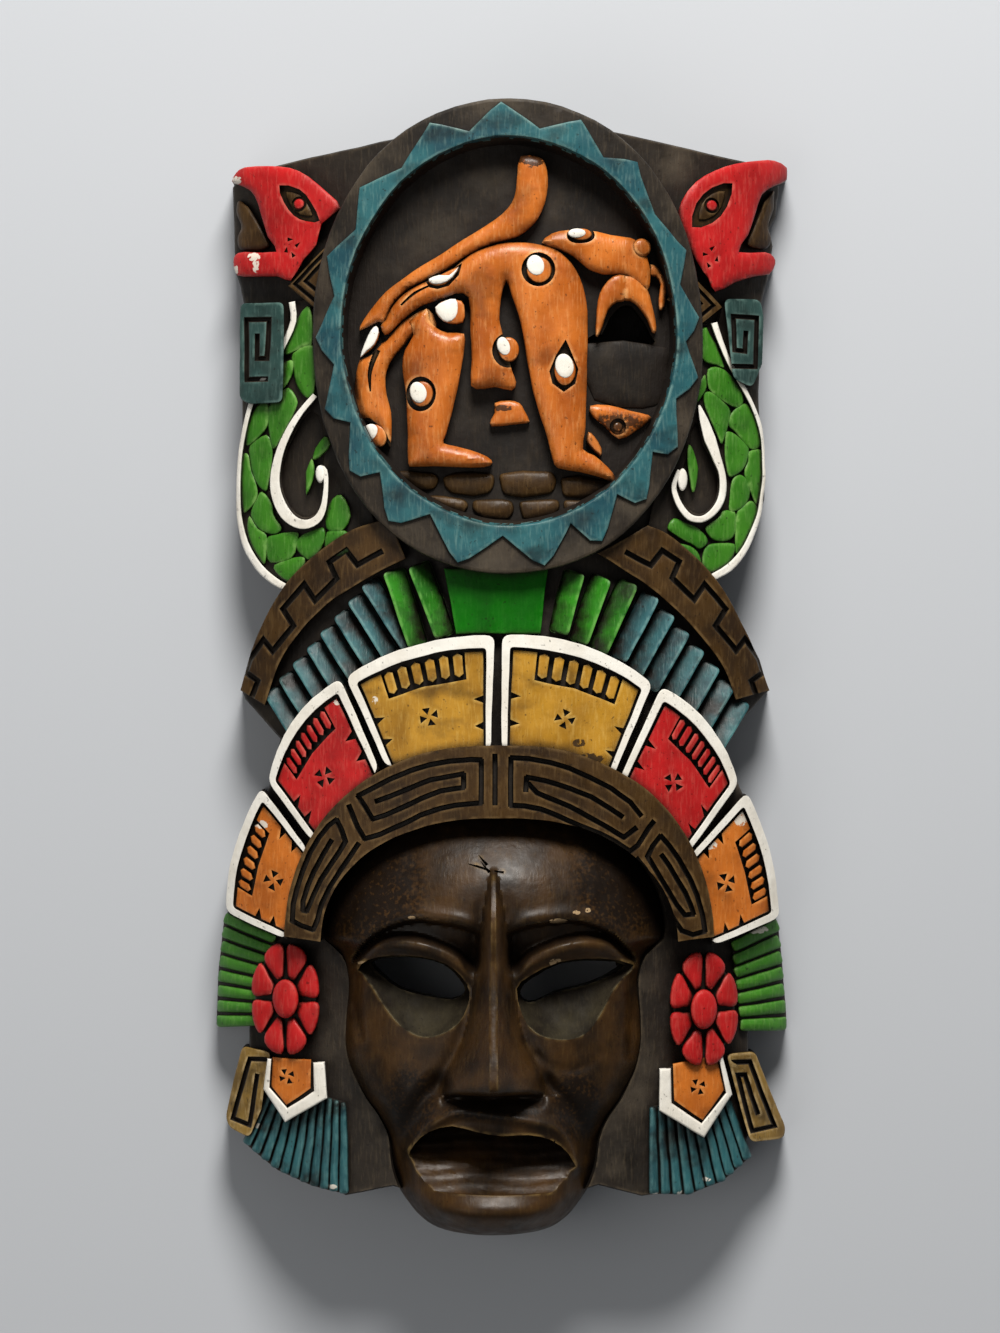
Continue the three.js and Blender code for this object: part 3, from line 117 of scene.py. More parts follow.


# wash sets the strength of the dark wash and painted shade in hollows, reach how far from a wall in mm they
# spread
def painted(name, coat, deep, worn, rough, wash=0.95, rub=0.7, gloss=0.0, streaks=0.3, aged=0.45,
            halo=0.0, relief=1.0, reach=5.0, specular=0.3, marks=()):
    """Brushed paint or stain on carved wood, with a dark wash and painted shade in its hollows, and rubbed
    arrises.
    """
    material = bpy.data.materials.new(name)
    material.use_nodes = True
    tree = material.node_tree
    tree.nodes.clear()
    place = add(tree, "ShaderNodeTexCoord").outputs["Object"]
    # Each layer: the size of its marks in mm along X, Y and Z, detail, range, strength and tone
    layers = [
        ("thin and thick coat", (14, 20, 14), 4, 0.38, 0.66, 1.0, deep),
        ("brush strokes", (0.9, 6, 2), 3, 0.5, 0.78, streaks, worn),
        ("dry brush of taupe", (26, 26, 26), 6, 0.5, 0.68, halo, "#5E5446"),
        ("smoky patches of wash", (17, 13, 17), 7, 0.52, 0.68, aged, WASH_AND_SHADE),
        ("wash left in the pores", (1.3, 1.7, 1.3), 2, 0.66, 0.73, 0.6, WASH_AND_SHADE),
    ]
    colour = linear(coat)
    strokes = None
    for number, (label, sizes, detail, low, high, strength, tone) in enumerate(layers):
        if not strength:
            continue
        at = add(tree, "ShaderNodeMapping", {"vector_type": "POINT", "label": label}, {
            "Vector": place, "Scale": [cells(size) for size in sizes],
            "Location": (number * 7, number * 3, 0)})
        field = add(tree, "ShaderNodeTexNoise", {}, {
            "Vector": at.outputs["Vector"], "Scale": 1.0, "Detail": float(detail)})
        share = add(tree, "ShaderNodeMapRange", {}, {
            "Value": field.outputs["Fac"], "From Min": low, "From Max": high, "To Max": strength})
        if label == "brush strokes":
            strokes = share
        colour = add(tree, "ShaderNodeMix", {"data_type": "RGBA"}, {
            0: share.outputs["Result"], 6: colour, 7: linear(tone)}).outputs[2]
    # Arrises rubbed within 1.4 mm, in places
    arris = add(tree, "ShaderNodeAmbientOcclusion", {"inside": True, "only_local": True, "samples": 4},
                {"Distance": 1.4 * MM})
    bare = add(tree, "ShaderNodeMapRange", {}, {
        "Value": arris.outputs["AO"], "From Min": 0.92, "From Max": 0.6, "To Max": rub})
    handled = add(tree, "ShaderNodeTexNoise", {}, {"Vector": place, "Scale": cells(5), "Detail": 3.0})
    often = add(tree, "ShaderNodeMapRange", {}, {
        "Value": handled.outputs["Fac"], "From Min": 0.4, "From Max": 0.58})
    rubbed = add(tree, "ShaderNodeMath", {"operation": "MULTIPLY"}, {
        0: bare.outputs["Result"], 1: often.outputs["Result"]})
    colour = add(tree, "ShaderNodeMix", {"data_type": "RGBA"}, {
        0: rubbed.outputs[0], 6: colour, 7: linear(worn)}).outputs[2]
    # Chips, dabs and brown patches, and on the face wide patches of painted shade; marks over 8 mm wide get
    # soft edges. Each mark: middle, half width and half height in mm, and tone
    mark_edge_noise = add(tree, "ShaderNodeTexNoise", {}, {"Vector": place, "Scale": cells(1.6), "Detail": 5.0})
    ragged = add(tree, "ShaderNodeMapRange", {}, {
        "Value": mark_edge_noise.outputs["Fac"], "From Min": 0.35, "From Max": 0.6, "To Min": 0.1})
    for x, y, half_width, half_height, tone in marks:
        faint, full = (0.02, 0.3) if half_width > 8 else (0.12, 0.2)
        at = add(tree, "ShaderNodeMapping", {"vector_type": "POINT"}, {
            "Vector": place, "Location": (-x / half_width, -y / half_height, 0),
            "Scale": (cells(half_width), cells(half_height), 0)})
        ball = add(tree, "ShaderNodeTexGradient", {"gradient_type": "SPHERICAL"}, {
            "Vector": at.outputs["Vector"]})
        uneven = add(tree, "ShaderNodeMath", {"operation": "MULTIPLY"}, {
            0: ragged.outputs["Result"], 1: ball.outputs["Fac"]})
        share = add(tree, "ShaderNodeMapRange", {}, {
            "Value": uneven.outputs[0], "From Min": faint, "From Max": full, "To Max": 0.9})
        colour = add(tree, "ShaderNodeMix", {"data_type": "RGBA"}, {
            0: share.outputs["Result"], 6: colour, 7: linear(tone)}).outputs[2]
    # The wash lies in grooves, and painted shade darkens the corners between levels and all within reach mm
    # of a wall
    hollow = add(tree, "ShaderNodeAmbientOcclusion", {"samples": 6}, {"Distance": reach * MM})
    pooled_wash_and_shade = add(tree, "ShaderNodeMapRange", {}, {
        "Value": hollow.outputs["AO"], "From Min": 0.86, "From Max": 0.5, "To Max": wash})
    edge = add(tree, "ShaderNodeTexNoise", {}, {"Vector": place, "Scale": cells(4), "Detail": 4.0})
    patchy = add(tree, "ShaderNodeMapRange", {}, {
        "Value": edge.outputs["Fac"], "From Min": 0.25, "From Max": 0.6, "To Min": 0.65})
    wash_and_shade_share = add(tree, "ShaderNodeMath", {"operation": "MULTIPLY"}, {
        0: pooled_wash_and_shade.outputs["Result"], 1: patchy.outputs["Result"]})
    colour = add(tree, "ShaderNodeMix", {"data_type": "RGBA"}, {
        0: wash_and_shade_share.outputs[0], 6: colour, 7: linear(WASH_AND_SHADE)}).outputs[2]
    # Gloss breaks up over 6 mm; knife marks of 4 mm and strokes stand up to 0.4 mm
    sheen = add(tree, "ShaderNodeTexNoise", {}, {"Vector": place, "Scale": cells(6), "Detail": 3.0})
    roughness = add(tree, "ShaderNodeMapRange", {}, {
        "Value": sheen.outputs["Fac"], "From Min": 0.3, "From Max": 0.7,
        "To Min": rough - 0.1, "To Max": rough + 0.12})
    knife = add(tree, "ShaderNodeTexNoise", {}, {"Vector": place, "Scale": cells(4.2), "Detail": 4.0})
    ridges = add(tree, "ShaderNodeMath", {"operation": "ADD"}, {
        0: strokes.outputs["Result"], 1: knife.outputs["Fac"]})
    bump = add(tree, "ShaderNodeBump", {}, {
        "Strength": 0.6 * relief, "Distance": 0.4 * MM, "Height": ridges.outputs[0]})
    shader = add(tree, "ShaderNodeBsdfPrincipled", {}, {
        "Base Color": colour, "Roughness": roughness.outputs["Result"], "Normal": bump.outputs["Normal"],
        "IOR": 1.5, "Specular IOR Level": specular, "Coat Weight": gloss, "Coat Roughness": 0.2})
    add(tree, "ShaderNodeOutputMaterial", {}, {"Surface": shader.outputs[0]})
    material.diffuse_color = linear(coat)
    return material


TAN, CREAM, BROWN = "#A98F6C", "#E4DFD2", "#2A1C10"
# Walnut stain on the board: the eye sees near-black brown, matt, with dusty taupe patches, and painted shade
# at the foot of the raised forms, out to 11 mm
walnut_stain = painted(
    "walnut_stained_wood", "#2A231B", "#15100A", "#5E5240", 0.6, halo=0.4, aged=0.45, reach=11)
# Dark stain on the floor of the round relief with a smear of taupe, darkened further as painted shade of the
# sunk floor, out to 18 mm from its walls
recess_stain_and_shade = painted(
    "dark_stained_wood_and_painted_shade", "#1A130B", "#0C0804", "#463A2A", 0.66, halo=0.26, aged=0.6, reach=18)
# Oiled stain on the bands: a warm middle brown whose arrises are rubbed light
brown_band = painted(
    "oiled_brown_wood", "#442F13", "#2B1C0B", "#755C38", 0.5, rub=0.75, gloss=0.04, reach=4.5, specular=0.2)
# Waxed dark face: near-black warm brown with soft highlights and tan chips; painted shade darkens the
# forehead's sides under the band, the creases beside the muzzle, the place under the nose and, out to 14 mm,
# its hollows
face_wax = painted(
    "waxed_dark_wood", "#3E2911", "#1F1409", "#7A6238", 0.44, rub=0.9, gloss=0.05, streaks=0.12, aged=0.5,
    reach=14, specular=0.2, marks=[
        # Painted shade: the band's shadow on the forehead's sides, the creases beside the muzzle and the
        # shadow under the nose
        (-54, -86, 30, 30, WASH_AND_SHADE), (50, -84, 28, 28, WASH_AND_SHADE), (-36, -172, 12, 18, WASH_AND_SHADE),
        (30, -172, 12, 18, WASH_AND_SHADE), (-3, -174, 26, 5, WASH_AND_SHADE),
        # Tan chips
        (22.3, -99.4, 4.4, 1.3, TAN), (29.6, -96, 1.8, 1.1, TAN), (34, -95.2, 1.6, 1.1, TAN),
        (21.5, -116, 3.2, 2.2, TAN), (-53.4, -116.6, 4.4, 1.2, TAN), (-35.4, -98, 1.8, 0.8, TAN)])
# Scooped hollows of the face: the same wood, matt and greyer, with the gouge's marks; its wash reaches 30 mm,
# so painted shade darkens the hollows deep inside
hollow_wax = painted(
    "gouged_dark_wood", "#353022", "#120E08", "#8A7C5C", 0.7, rub=0.9, streaks=0.06, aged=0.9, reach=30,
    specular=0.12, relief=1.8)
# Cut wood at the back, left without paint: pale, dry and matt
bare_wood = painted(
    "bare_cut_wood", "#8C6E4A", "#6E5236", "#A98A62", 0.75, wash=0.6, streaks=0.6, aged=0.1)
# Thin water-based paints brushed over a dark ground: satin, streaked, rubbed to the ground at their
# edges, some with chips that show the cream primer
teal_paint = painted("teal_emulsion_paint", "#2C6167", "#19434E", "#7FA39C", 0.46, aged=0.6)
deep_teal = painted("dark_teal_emulsion_paint", "#2F4D49", "#203835", "#67857E", 0.5)
# Its full wash reaches 15 mm: painted shade darkens the low side of each rib beside the raised edge of the
# next
rib_teal = painted(
    "thin_teal_emulsion_paint", "#2F666C", "#1B4048", "#6F9C9A", 0.5, wash=1.0, aged=0.9, reach=15, marks=[
        (-100.8, -184, 1.6, 3, CREAM), (-97.4, -183, 2.4, 1.6, CREAM), (-67.4, -206, 2.4, 1.2, CREAM),
        (61.4, -209, 2, 1, CREAM), (71.4, -208.6, 2, 1.2, CREAM), (81.8, -203.4, 2.2, 1.2, CREAM)])
green_paint = painted(
    "leaf_green_emulsion_paint", "#3D7E1C", "#2E6C14", "#7FAE5A", 0.46, aged=0.25, reach=2.4, marks=[
        (102, -104.4, 6, 2, CREAM)])
# Its full wash reaches 12 mm: painted shade darkens the low side of each leaf beside the raised edge of the
# next
leaf_paint = painted(
    "bright_green_emulsion_paint", "#2E8418", "#1E6410", "#70B052", 0.5, wash=1.0, aged=0.8, reach=12)
plate_green = painted(
    "deep_green_emulsion_paint", "#0A6205", "#075004", "#3F8A30", 0.5, streaks=0.12, aged=0.15, specular=0.12)
red_paint = painted(
    "red_emulsion_paint", "#BB1E1F", "#9E1718", "#D4685C", 0.46, aged=0.2, specular=0.22, marks=[
        (-70.2, -135.6, 2.6, 1.8, CREAM), (-65.4, -13.2, 2, 1.4, CREAM), (-106, 195.6, 2.6, 2, CREAM),
        (-99, 164.6, 3.4, 2, CREAM), (-98, 161, 1.8, 3.4, CREAM), (-106.4, 159.6, 1.4, 2.4, CREAM)])
orange_paint = painted(
    "orange_emulsion_paint", "#CC7226", "#AA5A1A", "#E89C54", 0.44, aged=0.35, reach=3.5, marks=[
        (95.4, -58.6, 3.6, 5, CREAM), (82.6, -70, 4, 2.2, CREAM), (-96, -62, 4, 2, CREAM)])
cat_orange = painted(
    "burnt_orange_emulsion_paint", "#C97029", "#A35214", "#EDB070", 0.38, gloss=0.1, aged=0.4, reach=4.5,
    marks=[(12, 201.6, 7, 4, BROWN), (46, 97.6, 14, 5, BROWN), (-1, 103.4, 7, 1.6, BROWN)])
ochre_paint = painted(
    "yellow_ochre_emulsion_paint", "#B98828", "#916616", "#DDB966", 0.46, aged=0.55, marks=[
        (30.6, -29.2, 3.4, 2, BROWN), (35, -36, 7, 3.4, BROWN), (-50.4, -12.4, 1.8, 2, CREAM)])
key_ochre = painted("brown_ochre_emulsion_paint", "#947638", "#6A5022", "#CDB382", 0.46, aged=0.6)
white_paint = painted(
    "white_emulsion_paint", "#F2F0E8", "#E6E1D5", "#F6F4EE", 0.48, wash=0.7, rub=0.2, aged=0.1, reach=1.6)


# Lines and outlines

def smooth(points, closed=False, per_span=3):
    """Points of a Catmull-Rom curve through the corners."""
    count = len(points)
    spans = count if closed else count - 1
    made = []
    for i in range(spans):
        if closed:
            p = [points[(i + k) % count] for k in (-1, 0, 1, 2)]
        else:
            p = [points[min(max(i + k, 0), count - 1)] for k in (-1, 0, 1, 2)]
        for step in range(per_span):
            t = step / per_span
            made.append(tuple(0.5 * (2 * p[1][k] + (p[2][k] - p[0][k]) * t
                                     + (2 * p[0][k] - 5 * p[1][k] + 4 * p[2][k] - p[3][k]) * t * t
                                     + (3 * p[1][k] - p[0][k] - 3 * p[2][k] + p[3][k]) * t ** 3)
                              for k in (0, 1)))
    return made if closed else made + [tuple(points[-1])]


def traced(points, sheet=SHEET):
    """A smooth closed outline through points drawn on a sheet."""
    return smooth(drawn(points, sheet), True, 2)


def strip(line, widths):
    """The outline of a strip along a line; widths is one number, or one for each point or end."""
    last = len(line) - 1
    if isinstance(widths, (int, float)):
        widths = [widths, widths]
    if len(widths) != len(line):
        stops = len(widths) - 1
        spread = []
        for i in range(last + 1):
            where = i / last * stops
            k = min(int(where), stops - 1)
            spread.append(widths[k] + (widths[k + 1] - widths[k]) * (where - k))
        widths = spread
    left, right = [], []
    for i, (x, y) in enumerate(line):
        into = Vector(line[max(i, 1)]) - Vector(line[max(i, 1) - 1])
        out = Vector(line[min(i, last - 1) + 1]) - Vector(line[min(i, last - 1)])
        into.normalize()
        out.normalize()
        along = (into + out).normalized()
        half = widths[i] / 2 / max(0.6, along.dot(into))
        left.append((x - along.y * half, y + along.x * half))
        right.append((x + along.y * half, y - along.x * half))
    return right + left[::-1]


def rounded(points, radius, steps=4):
    """The outline with its sharp corners turned into short curves."""
    made = []
    count = len(points)
    for i, corner in enumerate(points):
        here = Vector(corner)
        back, ahead = Vector(points[i - 1]) - here, Vector(points[(i + 1) % count]) - here
        if back.length < 1e-6 or ahead.length < 1e-6 or back.angle(ahead) > math.radians(150):
            made.append(tuple(corner))
            continue
        start = here + back.normalized() * min(radius, back.length * 0.45)
        end = here + ahead.normalized() * min(radius, ahead.length * 0.45)
        for step in range(steps + 1):
            t = step / steps
            made.append(tuple(start * (1 - t) ** 2 + here * 2 * t * (1 - t) + end * t * t))
    return made


def grown(outline, by):
    """The outline moved out by a distance, away from its middle."""
    middle = sum((Vector(p) for p in outline), Vector((0, 0))) / len(outline)
    return [tuple(Vector(p) + (Vector(p) - middle).normalized() * by) for p in outline]


def oval(x, y, half_width, half_height, sides=24, tilt=0, power=1):
    turn = math.radians(tilt)
    made = []
    for i in range(sides):
        angle = 2 * math.pi * i / sides
        across = math.copysign(abs(math.cos(angle)) ** power, math.cos(angle)) * half_width
        up = math.copysign(abs(math.sin(angle)) ** power, math.sin(angle)) * half_height
        made.append((x + across * math.cos(turn) - up * math.sin(turn),
                     y + across * math.sin(turn) + up * math.cos(turn)))
    return made


def mixed(a, b, t):
    return (a[0] + (b[0] - a[0]) * t, a[1] + (b[1] - a[1]) * t)


def stationed(at, stations):
    rising = sorted(stations)
    if at <= rising[0][0]:
        return rising[0][1]
    if at >= rising[-1][0]:
        return rising[-1][1]
    i = next(k for k, (place, _) in enumerate(rising) if place > at) - 1

    def slope(k):
        low, high = rising[max(k - 1, 0)], rising[min(k + 1, len(rising) - 1)]
        return (high[1] - low[1]) / (high[0] - low[0])
    (x0, y0), (x1, y1) = rising[i], rising[i + 1]
    span = x1 - x0
    t = (at - x0) / span
    return ((2 * t ** 3 - 3 * t ** 2 + 1) * y0 + (t ** 3 - 2 * t ** 2 + t) * span * slope(i)
            + (3 * t ** 2 - 2 * t ** 3) * y1 + (t ** 3 - t ** 2) * span * slope(i + 1))


def smoothstep(low, high, at):
    t = min(1, max(0, (at - low) / (high - low)))
    return t * t * (3 - 2 * t)


def hump(at, centre, width):
    return math.exp(-(((at - centre) / width) ** 2))


# Carved forms

def raw_form(outline, base, top, paint=PAINT, lid_outline=None):
    """A closed form with a flat top, whose top can have its own outline of as many corners."""
    bm = bmesh.new()
    corners = [bm.verts.new((x, y, base)) for x, y in outline]
    floor = bm.faces.new(corners)
    made = bmesh.ops.extrude_face_region(bm, geom=[floor], use_keep_orig=True)["geom"]
    lid = next(g for g in made if isinstance(g, bmesh.types.BMFace))
    raised = set(lid.verts)
    bmesh.ops.translate(bm, verts=lid.verts, vec=(0, 0, top - base))
    if lid_outline:
        for corner, (x, y) in zip(corners, lid_outline):
            joined = [edge.other_vert(corner) for edge in corner.link_edges]
            above = next(vert for vert in joined if vert in raised)
            above.co.x, above.co.y = x, y
    for face in bm.faces:
        face.material_index = paint
    bmesh.ops.recalc_face_normals(bm, faces=bm.faces)
    return bm


def groove(line, widths, level, depth, bottom=0.35, above=1.5):
    """A cutter for a V-shaped groove along a line, whose floor is a share of its width."""
    flare = 1 + (1 - bottom) * above / depth
    if isinstance(widths, (int, float)):
        widths = [widths, widths]
    return raw_form(strip(line, [width * bottom for width in widths]), level - depth, level + above, STAIN,
                    strip(line, [width * flare for width in widths]))


def as_object(bm, name):
    mesh = bpy.data.meshes.new(name)
    for _ in range(3):
        mesh.materials.append(None)
    bm.to_mesh(mesh)
    bm.free()
    made = bpy.data.objects.new(name, mesh)
    bpy.context.scene.collection.objects.link(made)
    return made


def cut(bm, cutters):
    """The form less its cutters."""
    if not cutters:
        return bm
    body = as_object(bm, "being_carved")
    tools = [as_object(cutter, "cutter") for cutter in cutters]
    for tool in tools:
        change = body.modifiers.new("cut", "BOOLEAN")
        change.operation = "DIFFERENCE"
        change.solver = "EXACT"
        change.object = tool
    bpy.context.view_layer.update()
    shaped = body.evaluated_get(bpy.context.evaluated_depsgraph_get())
    result = bmesh.new()
    result.from_mesh(shaped.to_mesh())
    shaped.to_mesh_clear()
    for spent in [body] + tools:
        mesh = spent.data
        bpy.data.objects.remove(spent)
        bpy.data.meshes.remove(mesh)
    bmesh.ops.remove_doubles(result, verts=result.verts, dist=TOUCHING)
    return result


def eased(bm, amount, segments, level):
    """Rounds the arrises between the level top and its walls."""
    bm.normal_update()
    arrises = [
        edge for edge in bm.edges
        if len(edge.link_faces) == 2 and edge.is_convex and min(v.co.z for v in edge.verts) > level - 0.05
        and max(face.normal.z for face in edge.link_faces) > 0.9
        and min(abs(face.normal.z) for face in edge.link_faces) < 0.75]
    if arrises and amount:
        bmesh.ops.bevel(bm, geom=arrises, offset=amount, segments=segments, profile=0.5, affect="EDGES",
                        clamp_overlap=True, material=-1)


def meshed(bm, pitch):
    """Cuts the faces by a grid of planes, so that they can follow the round of the block."""
    bmesh.ops.triangulate(bm, faces=[f for f in bm.faces if len(f.verts) > 4], ngon_method="EAR_CLIP")
    for axis in (0, 1):
        places = [v.co[axis] for v in bm.verts]
        at = math.ceil((min(places) + 0.1) / pitch) * pitch
        while at < max(places) - 0.1:
            point, normal = Vector(), Vector()
            point[axis], normal[axis] = at, 1
            bmesh.ops.bisect_plane(bm, geom=bm.verts[:] + bm.edges[:] + bm.faces[:], dist=TOUCHING,
                                   plane_co=point, plane_no=normal)
            at += pitch
    return bm


def to_outline(x, y, outline, closed=True):
    best = 1e9
    for i, (ax, ay) in enumerate(outline if closed else outline[:-1]):
        bx, by = outline[(i + 1) % len(outline)]
        dx, dy = bx - ax, by - ay
        t = min(1, max(0, ((x - ax) * dx + (y - ay) * dy) / (dx * dx + dy * dy + 1e-9)))
        best = min(best, math.hypot(x - ax - t * dx, y - ay - t * dy))
    return best


def pillowed(bm, outline, top, reach, drop, skin=2.4):
    """Rounds the top over, from its full height to the edge."""
    for vert in bm.verts:
        if vert.co.z > top - skin:
            near = 1 - min(1, to_outline(vert.co.x, vert.co.y, outline) / reach)
            vert.co.z -= drop * (1 - math.sqrt(max(0, 1 - near * near)))


def form(outline, top, base=IN_BOARD, ease=0.6, cutters=(), pitch=3.0, round_over=None, tilt=None,
         segments=2):
    """A carved form: cut, its arrises eased, its top rounded over or tilted."""
    bm = cut(raw_form(outline, base, top), cutters)
    eased(bm, ease, segments, top)
    meshed(bm, pitch)
    if round_over:
        pillowed(bm, outline, top, *round_over)
    if tilt:
        for vert in bm.verts:
            if vert.co.z > top - ease - 0.2:
                vert.co.z += tilt(vert.co.x, vert.co.y)
    return bm


def crown(x):
    """How far the round of the block lifts the relief."""
    def level(at):
        return math.sqrt(max(0, 1 - min(1, at / LOG_HALF_WIDTH) ** 2))
    return LOG_RISE * max(0, level(abs(x)) - level(BLOCK_HALF_WIDTH))


def hand_cut(x, y):
    """How far a knife by hand strays from the drawn line, in mm: waves of about 30 mm and 9 mm."""
    slow = noise.noise_vector(Vector((x, y, 0)) / 30)
    quick = noise.noise_vector(Vector((x, y, 50)) / 9)
    return slow * 0.5 + quick * 0.22


def coated(bm, coat_depth=7):
    """The coat ends a little below the top: the sides of the block are stained and its back is bare."""
    foot = max(BOARD, max(vert.co.z for vert in bm.verts) - coat_depth)
    bmesh.ops.bisect_plane(bm, geom=bm.verts[:] + bm.edges[:] + bm.faces[:], dist=TOUCHING,
                           plane_co=(0, 0, foot), plane_no=(0, 0, 1))
    bm.normal_update()
    for face in bm.faces:
        if face.material_index == PAINT and max(vert.co.z for vert in face.verts) < foot + 0.01:
            if abs(face.normal.z) < 0.6:
                face.material_index = STAIN
            elif face.normal.z < 0 and max(vert.co.z for vert in face.verts) < 0.1:
                face.material_index = BARE


def piece(name, forms, paint, lifted=True, straying=1.0, stain=None):
    """Joins forms into one piece, on the round of the block and within the solid's box."""
    whole = bmesh.new()
    for bm in forms:
        if lifted:
            coated(bm)
        scratch = bpy.data.meshes.new("scratch")
        bm.to_mesh(scratch)
        bm.free()
        whole.from_mesh(scratch)
        bpy.data.meshes.remove(scratch)
    for vert in whole.verts:
        x, y, z = vert.co
        share = min(1, max(0, z) / BOARD)
        stray = hand_cut(x, y) * straying
        z += stray.z * 0.6 * share
        if lifted:
            z += crown(x) * share
        vert.co = Vector((x + stray.x, y + stray.y, z)) * MM
        for axis in range(3):
            vert.co[axis] = min(max(vert.co[axis], cad_low[axis]), cad_high[axis])
    whole.normal_update()
    for face in whole.faces:
        face.smooth = True
    for edge in whole.edges:
        if len(edge.link_faces) == 2:
            edge.smooth = edge.calc_face_angle(0) < CREASE
    mesh = bpy.data.meshes.new(name)
    whole.to_mesh(mesh)
    whole.free()
    for material in (paint, stain or walnut_stain, bare_wood):
        mesh.materials.append(material)
    made = bpy.data.objects.new(name, mesh)
    bpy.context.scene.collection.objects.link(made)
    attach(made, "root")
    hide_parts("carved_mask")


# The face: its surface is a height over distance from its axis and place down it, with lines
# drawn on the face's own sheet

FACE_SHEET = (0.158, -71.7, -51.7)
FACE_AXIS = -3.1
FACE_WIDTH = [
    (-225.4, 8), (-224, 17), (-221.6, 24), (-217.6, 29.5), (-212, 34), (-206, 38), (-198, 41), (-186, 42.6),
    (-178, 46), (-170, 51.6), (-159, 57.2), (-149.7, 59.4), (-140, 59.4), (-122.8, 58.6), (-113, 62),
    (-107, 69), (-92, 68), (-77, 60), (-66, 47), (-60, 33), (-56, 8),
]
FACE_MIDDLE = [
    (-225.4, 44), (-224, 58), (-221.6, 68), (-218, 74.6), (-213.6, 77.4), (-208, 76), (-200, 74), (-186, 75),
    (-172, 73), (-150, 71), (-130, 70), (-116, 71), (-106, 77), (-97, 79), (-84, 76.4), (-72, 70), (-62, 62),
    (-56, 56),
]
FACE_SIDE = [
    (-225.4, 40), (-210, 42), (-190, 43), (-150, 42), (-120, 41), (-108, 34), (-92, 33), (-72, 40), (-56, 52),
]
FACE_ROUND = [(-225.4, 2.6), (-200, 2.6), (-180, 2.5), (-150, 2.8), (-118, 3.0), (-100, 2.3), (-56, 2.0)]
# How full the face is between its middle and its sides: lower is squarer
FACE_FULLNESS = 0.62
# Distance from the axis and place of the brow's and the lid's lower edges
BROW_LINE = [
    (0, -104.6), (6, -103.6), (14, -101), (24, -99.4), (30, -99), (37, -100.2), (46, -104.2), (52, -109.8),
    (57, -116),
]
LID_LINE = [
    (4, -122), (8.8, -119.6), (14, -114.6), (23, -110.6), (30, -108.6), (38, -107.9), (45, -109.6),
    (51, -113.6), (56, -118.4),
]
BROW_CUT, LID_ROLL, BROW_ROLL, NOSE_CREASE = 7.5, 1.8, 0.7, 1.2
NOSE_HALF_WIDTH = [
    (-169, 20.5), (-165.5, 20.5), (-159, 18.4), (-152, 14.6), (-146, 12), (-138, 9.8), (-130, 8.6),
    (-115, 6.6), (-99, 4.6), (-88, 2.8), (-80, 1.4)]
RIDGE_HALF_WIDTH = [
    (-169, 1.6), (-160, 1.6), (-146, 1.4), (-130, 1.4), (-115, 1.2), (-99, 1), (-88, 0.8), (-80, 0.5)]
NOSE_HEIGHT = [
    (-169, 0), (-167.4, 19), (-165, 24.5), (-158, 24.5), (-146, 21.5), (-130, 17), (-112, 12.6), (-96, 8),
    (-86, 4.4), (-80, 1.6), (-78.4, 0)]
NOSE_FOOT, NOSE_TOP = -169, -78.4
FACE_TOP, FACE_FOOT = -56, -225.4

MOUTH = traced([
    (212, 962), (218, 902), (236, 862), (272, 830), (330, 814), (390, 827), (455, 838), (520, 836),
    (578, 850), (622, 888), (648, 938), (660, 972), (610, 980), (520, 986), (430, 987), (340, 984),
    (262, 974)], FACE_SHEET)
EYES = [
    traced([
        (93, 430), (120, 402), (180, 390), (250, 393), (312, 409), (352, 440), (374, 480), (368, 520),
        (347, 560), (312, 594), (270, 616), (228, 613), (182, 586), (142, 532), (112, 476)], FACE_SHEET),
    traced([
        (492, 472), (524, 440), (600, 404), (700, 397), (786, 417), (762, 450), (747, 484), (727, 548),
        (700, 596), (658, 622), (600, 618), (540, 590), (505, 536)], FACE_SHEET),
]
SLITS = [
    traced([
        (126, 410), (182, 398), (250, 401), (310, 418), (346, 448), (364, 482), (330, 502), (260, 492),
        (200, 476), (156, 446)], FACE_SHEET),
    traced([
        (502, 476), (532, 448), (604, 412), (696, 406), (762, 418), (706, 452), (640, 472), (586, 484),
        (540, 506), (508, 504)], FACE_SHEET),
]
# Soft rolls and valleys that follow a line: its points, height and half width in mm
FACE_LINES = [
    # creases from the nose round the muzzle
    ([(292, 716), (250, 768), (214, 836), (198, 910), (196, 968)], -4.5, 4.6),
    ([(566, 716), (622, 776), (664, 846), (676, 910), (672, 968)], -4.5, 4.6),
    # upper lip
    ([(224, 880), (248, 836), (292, 800), (350, 778), (430, 786), (510, 798), (580, 816), (622, 856),
      (648, 920)], 2.8, 2.6),
    # lower lip
    ([(222, 996), (300, 1022), (430, 1034), (560, 1024), (648, 992)], 1.7, 5.4),
    # under the nose
    ([(318, 752), (380, 742), (430, 746), (480, 744), (548, 752)], -4, 2.2),
    # soft fold under the right hollow
    ([(540, 640), (600, 672), (660, 668), (700, 636)], -0.8, 2.2),
    # creases beside the cheeks
    ([(92, 440), (86, 520), (100, 600)], -1.6, 2.0),
    ([(790, 440), (782, 540), (776, 640)], -1.6, 2.0),
]
FACE_LINES = [(smooth(drawn(line, FACE_SHEET)), height, width) for line, height, width in FACE_LINES]
FOREHEAD_CUTS = [
    [(370, 104), (418, 162)], [(370, 158), (392, 164), (424, 176)], [(400, 150), (424, 180)],
    [(436, 176), (460, 180)]]


